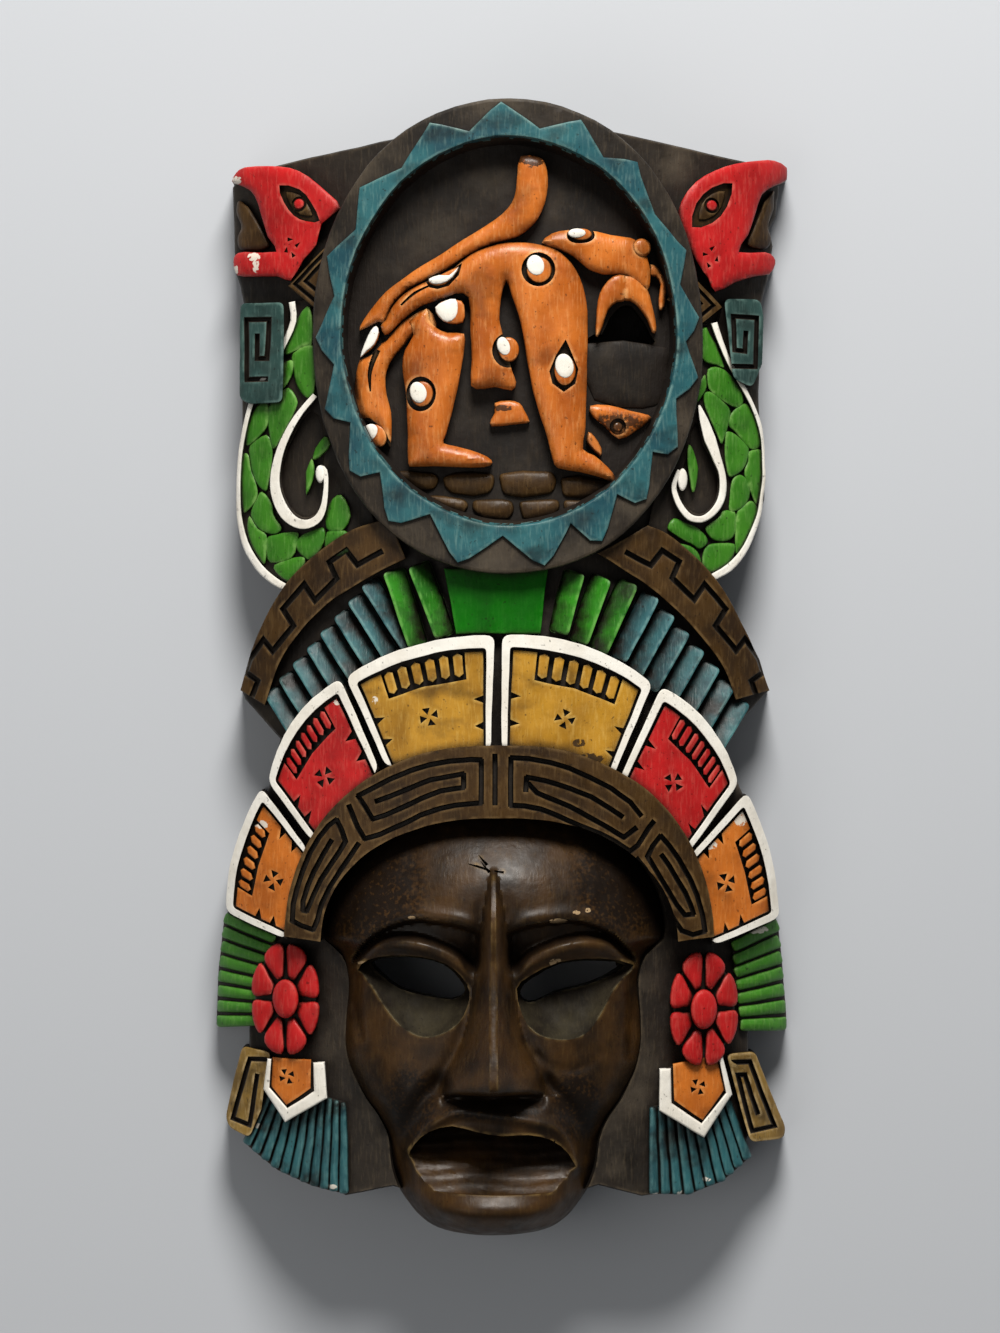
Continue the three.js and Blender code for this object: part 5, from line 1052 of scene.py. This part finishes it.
# The serpents: bed in mm; rim, curl, dark hollow and scales on the sheet, widths in mm
SERPENTS = {
    "left": {
        "bed": [
            (-83, 147), (-85.5, 137), (-93.5, 125), (-101.8, 107.6), (-105.4, 87.6), (-105.8, 65),
            (-101.4, 47.6), (-94, 38), (-84, 31), (-70, 46), (-50, 58), (-60, 90), (-72, 130), (-76, 147)],
        "rim": [
            (293, 303), (294, 322), (284, 346), (272, 368), (256, 393), (247, 421), (240.5, 452), (238, 484),
            (238.5, 515), (245, 543), (259, 567), (274, 581), (287, 588)],
        "rim_widths": [2.6, 2.4, 2.2, 2.2, 2, 2, 1.8, 1.8, 2, 2.6, 3, 3, 2.6],
        "curl": [
            (316, 397), (303, 413), (289, 435), (279, 458), (275, 480), (278, 499), (286, 514), (297, 523),
            (309, 524.5), (319.5, 518), (325, 503.7), (327, 485), (325.5, 472), (321, 470)],
        "curl_widths": [2, 2.2, 2.8, 3.2, 3.8, 4.4, 4.6, 4, 3.4, 3, 2.2, 1.8, 2.4, 3],
        "bulb": (321, 475, 4.6, 8.5),
        "hollow": [
            (312, 412), (296, 436), (284, 462), (282, 484), (290, 506), (303, 517), (316, 514), (322, 500),
            (324, 470), (324, 430)],
        "scales": [
            [(285, 353), (298, 322), (311, 310), (312, 344), (303, 347)],
            [(293, 362), (293, 372), (287.5, 383), (276.6, 396), (261, 399.7), (271, 379), (283, 366)],
            [(294.4, 355), (313.4, 348), (314.4, 394), (307, 397), (299.4, 386), (296, 371)],
            [(289, 390.6), (297, 402), (295.3, 413), (283, 438), (276.6, 446.6), (272, 444.4), (270.5, 420),
             (271, 408.4), (278, 399)],
            [(261, 403.7), (268, 402), (268.8, 419.4), (264, 430.3), (251.6, 442.8), (247, 439.7),
             (252, 419.4)],
            [(267, 436.6), (272, 449), (271, 464.7), (268.8, 480.3), (265.6, 489.7), (256.3, 480.3),
             (252.5, 461.5), (251.6, 446.6)],
            [(243.8, 455.3), (249.4, 457), (251.6, 474), (256.3, 489.7), (255.6, 499), (248.4, 508.4),
             (243, 510), (241.5, 489.7), (241.6, 464.7)],
            [(262.5, 493.7), (271.3, 505.3), (272, 514.7), (280.6, 527), (275, 533.4), (261, 528.7),
             (252.5, 516), (256.3, 502)],
            [(250, 518), (257.8, 530.3), (265.6, 536.6), (266.3, 552), (264, 563), (256.3, 552),
             (248.4, 533.4)],
            [(268.8, 539.7), (276.6, 536.6), (295.3, 533.4), (297.5, 539.7), (291, 558.4), (272, 561.5),
             (268, 550.6)],
            [(299.4, 539.7), (318.8, 530), (324.4, 532), (323.4, 542.8), (312.5, 560), (300, 550.6)],
            [(276.6, 566), (300, 559), (304.7, 563), (300, 580.3), (292, 582), (281, 575.6)],
            [(331, 505.3), (342, 497), (350, 517), (340, 532), (328, 527)],
            [(329, 534), (345, 533), (356, 545), (340, 556), (328, 552)],
            [(315.6, 455), (325, 440), (330, 447), (317, 459)],
            [(308, 474), (312.5, 461.5), (314, 474), (307, 492.8)]]},
    "right": {
        "bed": [
            (84.6, 138), (92.6, 119.6), (101.4, 103.6), (105.4, 85), (105.4, 68), (101.4, 53.6), (93.4, 40.4),
            (82.6, 35), (70, 46), (58, 56), (66, 90), (76, 138)],
        "rim": [
            (713.7, 324), (724, 354.7), (735, 375), (744.5, 391), (752, 405), (759, 424), (762.4, 440),
            (763.6, 462), (764, 478), (762, 496), (759.4, 515), (753, 534), (742.6, 553), (728, 568),
            (709, 579)],
        "rim_widths": [2.6, 2, 2, 1.8, 1.6, 1.6, 1.2, 1.2, 1.4, 1.4, 1.8, 2.2, 2.6, 3, 2.8],
        "curl": [
            (698, 407), (703, 422), (709, 440), (715, 456), (720.5, 471), (722.5, 486), (720.6, 500),
            (714, 511), (705, 518.5), (697, 520.5), (688, 518), (680, 509), (674.7, 497.5), (673, 488),
            (676, 478), (679, 472)],
        "curl_widths": [0.8, 3.4, 4.8, 3.6, 2.6, 2.8, 2.8, 2.8, 2.6, 2.6, 2.6, 2.4, 2.2, 2, 2, 2.4],
        "bulb": (681.5, 481, 4.8, 11),
        "hollow": [
            (697, 424), (702, 446), (712, 462), (717, 480), (715, 500), (704, 513), (692, 513), (682, 502),
            (678, 486), (686, 460), (692, 430)],
        "scales": [
            [(700.7, 335), (706, 330.4), (709, 336), (722, 366), (714.7, 365), (701.6, 358.4)],
            [(708, 372.4), (720, 370.5), (733, 382), (741, 396), (740, 405), (734, 406.4), (722, 400.5),
             (709, 390)],
            [(704.5, 396), (712, 395.4), (722, 404), (728, 412), (727, 424), (721.4, 443), (716, 433),
             (709, 416.7), (704.5, 405)],
            [(741, 406.4), (747.8, 407), (754.4, 419.6), (759.5, 434), (758.8, 444.5), (753.6, 448),
             (747.8, 446), (736.8, 432.8), (729.4, 426), (731.6, 415)],
            [(726.5, 434), (735, 436.5), (745.6, 446), (747, 453), (744, 465), (736.8, 472.4), (729.4, 475.3),
             (726.5, 466.5), (725.5, 443)],
            [(749, 453), (761, 452), (762, 468), (761, 482.6), (757, 502.4), (751.4, 491.4), (745.6, 473.8),
             (748.5, 463.6)],
            [(736, 477.5), (741, 476.8), (747.8, 482.6), (748, 495.8), (742.6, 506), (733.8, 510.5),
             (729.4, 509), (731, 495.8), (732.4, 482.6)],
            [(749, 502.4), (754.4, 504), (757, 510.5), (755.8, 523.7), (748.5, 538.4), (737.5, 553),
             (735.3, 544), (737.5, 516.4), (742.6, 509)],
            [(722, 513.4), (733.8, 513.4), (735.3, 526.6), (731, 537), (722, 540.6), (711.8, 538.4),
             (706, 529.6), (710.4, 525), (719, 519)],
            [(711.8, 546.4), (732.4, 545.7), (732.7, 554.5), (726.5, 563.3), (713.3, 570.6), (703, 572),
             (701.6, 564.8), (704.5, 551.6)],
            [(673.7, 520.8), (684, 525), (694, 529.6), (703, 537), (704.5, 544), (697, 548.6), (688.4, 542.8),
             (673.7, 535.4), (668, 529.6)],
            [(675, 545.7), (688.4, 548.6), (696.4, 556), (699, 567), (688, 562), (676, 553)],
            [(696.5, 400.5), (698, 386), (703, 378), (704.5, 384.4), (703, 391.7), (699, 399.6)],
            [(687, 452), (691, 450), (696, 470), (694, 490), (690, 486)]]},
}

# The scales are cut fuller than drawn, so that only narrow gaps stay between them
SCALE_GROWTH = 0.75

for side, parts in SERPENTS.items():
    hollow = raw_form(traced(parts["hollow"]), LEVEL["curl_floor"] + 0.5, OVER, STAIN)
    piece("serpent_bed_" + side, [form(parts["bed"], LEVEL["body"], 0, 0.5, cutters=[hollow])], walnut_stain)
    bulb = form(drawn(oval(*parts["bulb"], 18)), LEVEL["curl"] + 0.6, IN_BOARD, 0.5, pitch=1.4,
                round_over=(1.8, 0.8))
    piece("serpent_rim_" + side, [
        form(strip(smooth(drawn(parts["rim"])), parts["rim_widths"]), LEVEL["border"], 0, 0.6, pitch=3),
        form(strip(smooth(drawn(parts["curl"])), parts["curl_widths"]), LEVEL["curl"], IN_BOARD, 0.8,
             pitch=3),
        bulb], white_paint)
    piece("serpent_scales_" + side, [
        form(grown(smooth(drawn(scale), True, 3), SCALE_GROWTH), LEVEL["scale"], IN_BOARD, 0.4, pitch=1.8,
             round_over=(2.6, 1))
        for scale in parts["scales"]], green_paint)


def diamond(name, a, tip, b):
    sign = math.copysign(1, tip[0])
    middle = (a[1] + b[1]) / 2
    level = LEVEL["diamond"]
    cutters = []
    for share in (0.2, 0.5):
        centre = (sign * 71, middle)
        cutters.append(groove([mixed(a, centre, share), mixed(tip, centre, share), mixed(b, centre, share)],
                              1.5, level, 2.4))
    piece(name, [form([a, tip, b, (sign * 66, middle)], level, cutters=cutters, pitch=3)], brown_band)


diamond("wedge_left", (-68.6, 168.8), (-85, 152.8), (-73.4, 142.8))
diamond("wedge_right", (79.4, 137.2), (88.2, 144.4), (76.6, 156.4))


# The fret bands and the ribs above the headdress

FRET_WAVE = [
    (249, 702), (257.5, 681), (245, 672), (249.7, 658.5), (263.6, 639.5), (273, 651), (293.7, 626),
    (283.5, 609.4), (304.7, 585), (315, 600.6), (337, 579), (330, 563), (347, 551.5), (358, 566), (384, 552)]
SHEET_SUM = 1008


def fret(name, outer, inner, mirrored):
    outer_line, inner_line = smooth(outer, False, 6), smooth(inner, False, 6)
    wave = drawn([(SHEET_SUM - x, y) if mirrored else (x, y) for x, y in FRET_WAVE])
    piece(name, [form(outer_line + inner_line[::-1], LEVEL["fret"], 0, 1.1,
                      cutters=[groove(wave, 2.3, LEVEL["fret"], 3, 0.5)], pitch=3)], brown_band)


fret("fret_left", [(-104.6, -8.4), (-98.6, 11.6), (-84.6, 35.6), (-62.6, 53.6), (-44, 60)],
     [(-94.6, -14.4), (-87, 6), (-72, 24), (-57, 34), (-38, 44)], False)
fret("fret_right", [(107.4, -8.4), (99, 12), (85.4, 35.6), (68, 52), (58, 57)],
     [(93.4, -12), (87, 3), (72, 21), (57, 34), (38, 46)], True)

RIBS = [
    ("ribs_left", [(-53, 35), (-92, -8)], [(-36, 8), (-76, -34)], 8, 7.8, rib_teal),
    ("leaves_left", [(-43, 39.4), (-33, 42)], [(-33, 9), (-22, 13)], 2, 9.4, leaf_paint),
    ("leaves_right", [(29, 38.6), (50.6, 35)], [(22.4, 14), (38, 7)], 3, 9, leaf_paint),
    ("ribs_right", [(59.4, 30), (96, -12)], [(46, 4), (84, -32)], 7, 8.6, rib_teal),
]

for name, tips, bases, count, width, paint in RIBS:
    forms = []
    for i in range(count):
        t = i / (count - 1)
        tip, base = mixed(*tips, t), mixed(*bases, t)
        along = (Vector(tip) - Vector(base)).normalized()
        high_side = -1 if tip[0] < 0 else 1

        def shingle(x, y, tip=tip, along=along, side=high_side):
            across = (x - tip[0]) * along.y - (y - tip[1]) * along.x
            return side * across * 0.8
        outline = rounded(strip([base, mixed(base, tip, 0.5), tip], [width * 0.92, width * 0.97, width]), 2.2)
        forms.append(form(outline, LEVEL["ray"], IN_BOARD, 0.7, pitch=2.2, tilt=shingle,
                          round_over=(2.2, 0.7)))
    piece(name, forms, paint)

piece("centre_plate", [form([(-22.6, 40), (18.6, 40), (15.4, 14), (-17.8, 14)], LEVEL["plate"])], plate_green)


# The headdress panels

def pinwheel(middle, turn, corners, level, depth):
    """Four small triangles cut round a middle, each from its corners' places out and across."""
    made = []
    for quarter in range(4):
        angle = math.radians(90 * quarter) + turn
        out = Vector((math.cos(angle), math.sin(angle)))
        over = Vector((-out.y, out.x))
        points = [tuple(middle + out * along + over * across) for along, across in corners]
        made.append(raw_form(points, level - depth, level + 5, STAIN))
    return made


PANELS = [
    ("panel_middle_left", [(-61.8, -3.2), (-2.6, 13.2), (-4.2, -32), (-45.5, -39)], 5, 2, 6, ochre_paint),
    ("panel_middle_right", [(0.2, 13.6), (60.2, -5.6), (43.8, -43), (0.2, -32)], 6, 2, 6, ochre_paint),
    ("panel_upper_left", [(-93.4, -44.8), (-64.2, -3.6), (-48.5, -39.5), (-74.5, -69)], 5.5, 2, 7, red_paint),
    ("panel_upper_right", [(63.8, -6.8), (94.2, -46), (73.8, -73.6), (46.2, -44.5)], 5.5, 2, 7, red_paint),
    ("panel_side_left", [(-110.6, -97.2), (-96.2, -47.2), (-77, -71.5), (-85.5, -107.4)], 3.4, 1, 6,
     orange_paint),
    ("panel_side_right", [(97.8, -49.2), (111, -99.6), (84, -109.6), (74.2, -75)], 3.4, 1, 6, orange_paint),
]
# Widths in mm, and shares of a panel's depth
RIM_SIDE, FIELD_GAP, NICK_LENGTH, NICK_HALF_WIDTH, BAR_POINT = 3.0, 1.3, 4.6, 1.3, 1.1
RIM_SHARE, COMB_SHARE = 0.11, 0.24
PANEL_BASE = 12


def make_panel(name, corners, rise, inner_rise, bars, paint):
    a, b, c, d = corners
    length = math.dist(a, b)
    depth = math.dist(a, d)

    def at(u, v):
        def bulged(p, q, height):
            x, y = mixed(p, q, u)
            size = math.dist(p, q)
            lift = 4 * u * (1 - u) * height
            return (x - (q[1] - p[1]) / size * lift, y + (q[0] - p[0]) / size * lift)
        return mixed(bulged(a, b, rise), bulged(d, c, inner_rise), v)

    def arc(v, start, end, parts=8):
        return [at(start + (end - start) * i / parts, v) for i in range(parts + 1)]
    side = RIM_SIDE / length
    piece(name + "_bed", [form(arc(0.02, 0.01, 0.99) + [c, d], LEVEL["panel_floor"], 0, 0)], walnut_stain)
    opening = rounded(arc(RIM_SHARE, side, 1 - side) + [at(1 - side, 1.1), at(side, 1.1)], 1.6)
    rim = form(rounded(arc(0, 0, 1) + [c, d], 3.6), LEVEL["panel_rim"], 0, 0.9,
               cutters=[raw_form(opening, UNDER, OVER)], pitch=3, segments=3)
    piece(name + "_rim", [rim], white_paint)
    left, top = side + FIELD_GAP / length, RIM_SHARE + FIELD_GAP / depth
    right = 1 - left
    comb = top + COMB_SHARE
    nick, half_nick = NICK_LENGTH / length, NICK_HALF_WIDTH / depth
    comb_from, comb_to = left + 0.15, right - 0.12

    def notch(edge, v, inwards):
        return [at(edge, v - half_nick), at(edge + inwards * nick, v), at(edge, v + half_nick)]
    field = arc(top, left, comb_from, 2) + [at(comb_from, comb), at(0.5, comb), at(comb_to, comb)]
    field += arc(top, comb_to, right, 2) + notch(right, 0.56, -1) + notch(right, 0.79, -1)
    field += [at(right, 1.01), at(left, 1.01)] + notch(left, 0.76, 1)[::-1] + notch(left, 0.53, 1)[::-1]
    level = LEVEL["panel_field"]
    marks = pinwheel(Vector(at(0.48, 0.66)), math.atan2(b[1] - a[1], b[0] - a[0]),
                     [(0.9, 0.4), (3.8, 1.9), (3.4, -1.3)], level, 1.4)
    forms = [form(field, level, PANEL_BASE, 0.4, cutters=marks, pitch=3)]
    pitch = (comb_to - comb_from) / bars
    for i in range(bars):
        start, end = comb_from + pitch * (i + 0.16), comb_from + pitch * (i + 0.84)
        centre = (start + end) / 2
        low, point = comb - 0.9 / depth, BAR_POINT / depth
        bar = [at(start, low - point), at(centre, low), at(end, low - point),
               at(end, top + point), at(centre, top), at(start, top + point)]
        forms.append(form(bar, level, PANEL_BASE, 0.5, pitch=2))
    piece(name + "_field", forms, paint)


for panel in PANELS:
    make_panel(*panel)


# The band of squared spirals over the brow: its grooves are drawn on a sheet of their own

HOOD = {"x": -1, "y": -112, "outer_x": 85.5, "outer_y": 82, "inner_x": 71, "inner_y": 53.4}
# Under 1 gives the band squarer shoulders than an ellipse
HOOD_POWER = 0.89
HOOD_SHEET = (0.3947, -197.9, 264.0)
HOOD_LINES = [
    # upper left
    [(375, 801), (390, 796), (410, 788), (430, 780), (450, 776), (463, 773), (463, 787), (440, 791),
     (420, 799), (400, 808), (385, 815), (372, 819), (364, 806), (357, 796), (372, 788), (390, 779),
     (410, 771), (430, 765), (450, 761), (470, 758.5), (481, 759), (481, 802), (455, 805), (440, 808),
     (420, 815), (400, 825), (380, 834), (364, 839), (357, 828), (348, 806)],
    # middle
    [(495, 754), (495, 803)],
    # upper right
    [(641, 816), (630, 802), (610, 788), (590, 778), (570, 769), (550, 763), (530, 759), (511, 757),
     (511, 805), (525, 806), (540, 809), (560, 817), (580, 826), (600, 834), (615, 841), (630, 851),
     (638, 845), (648, 829), (654, 822)],
    [(526, 791), (527, 777), (545, 781), (570, 789), (590, 797), (610, 809), (622, 817)],
    [(529, 784), (537, 793), (550, 799), (570, 807), (590, 818), (610, 829), (624, 837), (636, 828)],
    # left side
    [(331, 841), (322, 856), (313, 872), (307, 886), (302, 902), (302, 911), (306, 912), (309, 905),
     (313, 895), (320, 880), (328, 868), (338, 854), (345, 842), (341, 830), (336, 820), (328, 826),
     (318, 838), (309, 853), (302, 871), (296, 889), (292, 905), (291, 922), (300, 927), (312, 931),
     (317, 920), (321, 905), (329, 888), (339, 872), (350, 856), (358, 844)],
    # right side
    [(662, 855), (670, 866), (678, 880), (686, 893), (691, 905), (694, 915), (685, 916), (677, 905),
     (670, 893), (662, 880), (655, 868), (648, 856), (653, 846), (661, 836), (670, 846), (680, 860),
     (690, 878), (698, 896), (703, 915), (706, 932), (694, 936), (682, 932), (675, 922), (668, 910),
     (660, 895), (653, 882), (645, 868), (637, 858)],
]


def on_hood(degrees, across):
    angle = math.radians(degrees)
    wide = HOOD["outer_x"] + (HOOD["inner_x"] - HOOD["outer_x"]) * across
    high = HOOD["outer_y"] + (HOOD["inner_y"] - HOOD["outer_y"]) * across
    c, s = math.cos(angle), math.sin(angle)
    return (HOOD["x"] + wide * math.copysign(abs(c) ** HOOD_POWER, c),
            HOOD["y"] + high * abs(s) ** HOOD_POWER)


def runs(line, overlap=0.5):
    """The parts of a line between its sharp corners, each a little past its corners."""
    made, run = [], [line[0]]
    for before, at, after in zip(line, line[1:], line[2:]):
        run.append(at)
        if (Vector(at) - Vector(before)).angle(Vector(after) - Vector(at)) > math.radians(35):
            made.append(run)
            run = [at]
    made.append(run + [line[-1]])
    for run in made:
        for end, inside in ((0, 1), (-1, -2)):
            past = (Vector(run[end]) - Vector(run[inside])).normalized() * overlap
            run[end] = tuple(Vector(run[end]) + past)
    return made


def make_meander(start=3, sweep=174, parts=48):
    outer = [on_hood(start + sweep * i / parts, 0) for i in range(parts + 1)]
    inner = [on_hood(start + sweep * i / parts, 1) for i in range(parts + 1)]
    level = LEVEL["meander"]
    cutters = [groove(run, 2.2, level, 3.2, 0.55)
               for line in HOOD_LINES for run in runs(drawn(line, HOOD_SHEET))]
    band = form(outer + inner[::-1], level, IN_BOARD, 1.3, cutters=cutters, pitch=3, segments=3)
    piece("brow_band", [band], brown_band)


make_meander()


# Flowers, fans and pendants beside the face

PETALS = 8
# A petal in a unit circle: distance from the middle and degrees to each side
PETAL = [
    (0.4, -13), (0.4, 13), (0.6, 18.2), (0.84, 20.6), (0.98, 15.5), (1.01, 0), (0.98, -15.5), (0.84, -20.6),
    (0.6, -18.2)]


def make_flower(name, x, y, half_width, half_height):
    forms = []
    for i in range(PETALS):
        turn = (i + 0.5) / PETALS * 360
        outline = [on_ring((x, y, half_width, half_height), turn + degrees, share)
                   for share, degrees in PETAL]
        forms.append(form(smooth(outline, True, 2), LEVEL["flower"], IN_BOARD, 0.5, pitch=1.8,
                          round_over=(3.4, 1.8)))
    boss = oval(x, y, half_width * 0.38, half_height * 0.34)
    forms.append(form(boss, LEVEL["flower_centre"], IN_BOARD, 0.8, pitch=1.8, round_over=(5, 2.4)))
    piece(name, forms, red_paint)
    bed = oval(x, y, half_width * 0.88, half_height * 0.88, 32)
    piece(name + "_bed", [form(bed, LEVEL["flower"] - 4)], walnut_stain)


make_flower("flower_left", -86.2, -131.4, 14, 22.6)
make_flower("flower_right", 80.6, -135.4, 14, 23)

FANS = [
    ("fan_side_left", [(-90, -108), (-95, -140.5)],
     [(-111.6, -99.8), (-113.8, -120), (-114.6, -141.6)], 8, 4, 4.9, green_paint),
    ("fan_side_right", [(92, -111), (95, -142.6)],
     [(111, -102.4), (113.2, -122), (114.6, -142.8)], 7, 4.6, 5.6, green_paint),
    ("fan_foot_left", [(-90, -165), (-63, -172)],
     [(-102.4, -190.6), (-89.5, -200.6), (-76, -206), (-62.6, -209)], 11, 2.7, 4.2, rib_teal),
    ("fan_foot_right", [(60, -174), (89, -168)],
     [(61, -209), (75, -209.4), (88, -205), (98.6, -196.4)], 10, 3.1, 4.3, rib_teal),
]


def make_fan(name, roots, tips, count, root_width, tip_width, paint):
    def along(line, t):
        where = t * (len(line) - 1)
        i = min(int(where), len(line) - 2)
        return mixed(line[i], line[i + 1], where - i)
    forms = []
    for i in range(count):
        t = i / (count - 1)
        root, tip = along(roots, t), along(tips, t)
        outline = rounded(strip([root, tip], [root_width, tip_width]), 1.6)
        forms.append(form(outline, LEVEL["fan"], 0, 0.5, pitch=1.5, round_over=(tip_width / 2, 2)))
    piece(name, forms, paint)
    piece(name + "_bed", [form(list(roots) + list(tips)[::-1], LEVEL["fan"] - 3, 0, 0.5)], walnut_stain)


for fan in FANS:
    make_fan(*fan)


def make_pendant(name, rim, widths, field, mark):
    level = LEVEL["pendant_rim"]
    marks = pinwheel(Vector(drawn([mark])[0]), math.radians(20), [(0.8, 0.6), (3.2, 1.2), (2.8, -1.0)],
                     level, 3)
    hung = form(drawn(field), level - 1.6, IN_BOARD, 0.4, cutters=marks, pitch=3)
    hoop = form(strip(drawn(rim), widths), level, IN_BOARD, 0.8, pitch=3, segments=3)
    piece(name + "_field", [hung], orange_paint)
    piece(name + "_rim", [hoop], white_paint)
    piece(name + "_bed", [form(rounded(drawn(rim), 1), level - 4, IN_BOARD, 0.4)], walnut_stain)


make_pendant("pendant_left", [(270, 1058), (267, 1088), (287, 1114), (322, 1092), (320, 1060)],
             [1.6, 2.4, 4.2, 5, 4.6],
             [(273, 1056), (272, 1086), (287, 1104), (312, 1086), (312, 1058)], (288, 1075))
make_pendant("pendant_right", [(664, 1066), (664, 1104), (702, 1128), (729, 1092), (720, 1054)],
             [4.6, 5, 4.2, 2.4, 1.6],
             [(672, 1062), (673, 1098), (702, 1118), (724, 1088), (716, 1054)], (697, 1085))


# Floor, light and camera

def plain_floor(half_side=3, drop=0.0005):
    mesh = bpy.data.meshes.new("floor")
    bm = bmesh.new()
    bmesh.ops.create_grid(bm, x_segments=1, y_segments=1, size=half_side)
    bmesh.ops.translate(bm, verts=bm.verts, vec=(0, 0, -drop))
    bm.to_mesh(mesh)
    bm.free()
    material = bpy.data.materials.new("matt_pale_board")
    material.use_nodes = True
    shader = material.node_tree.nodes["Principled BSDF"]
    shader.inputs["Base Color"].default_value = linear("#BCC1C8")
    shader.inputs["Roughness"].default_value = 0.9
    mesh.materials.append(material)
    made = bpy.data.objects.new("floor", mesh)
    bpy.context.scene.collection.objects.link(made)


plain_floor()


def soft_light(name, place, target, size, power):
    lamp = bpy.data.lights.new(name, "AREA")
    lamp.shape = "DISK"
    lamp.size = size
    lamp.energy = power
    lamp.color = linear("#FFFAF3")[:3]
    made = bpy.data.objects.new(name, lamp)
    made.location = place
    made.rotation_euler = (Vector(target) - Vector(place)).to_track_quat("-Z", "Y").to_euler()
    bpy.context.scene.collection.objects.link(made)


soft_light("key_light", (0.12, 1.4, 1.15), (0, 0, 0), 0.7, 47)
soft_light("fill_light", (-0.9, -0.4, 1.6), (0, 0, 0), 1.4, 5)
world = bpy.data.worlds.new("studio")
world.use_nodes = True
world.node_tree.nodes["Background"].inputs["Color"].default_value = linear("#F1F1F0")
world.node_tree.nodes["Background"].inputs["Strength"].default_value = 0.17
bpy.context.scene.world = world
bpy.context.scene.view_settings.view_transform = "Standard"

# The picture is as tall as 1333 units of the sheet, at the middle height of the relief
FRAME_HEIGHT = 1333 * 0.0004
DISTANCE, MIDDLE_HEIGHT = 3.2, 0.03
SENSOR_HEIGHT = 24
camera = bpy.data.cameras.new("camera")
camera.sensor_fit = "VERTICAL"
camera.sensor_height = SENSOR_HEIGHT
camera.lens = SENSOR_HEIGHT * (DISTANCE - MIDDLE_HEIGHT) / FRAME_HEIGHT
viewer = bpy.data.objects.new("camera", camera)
viewer.location = (-0.0006, 0.001, DISTANCE)
bpy.context.scene.collection.objects.link(viewer)
bpy.context.scene.camera = viewer
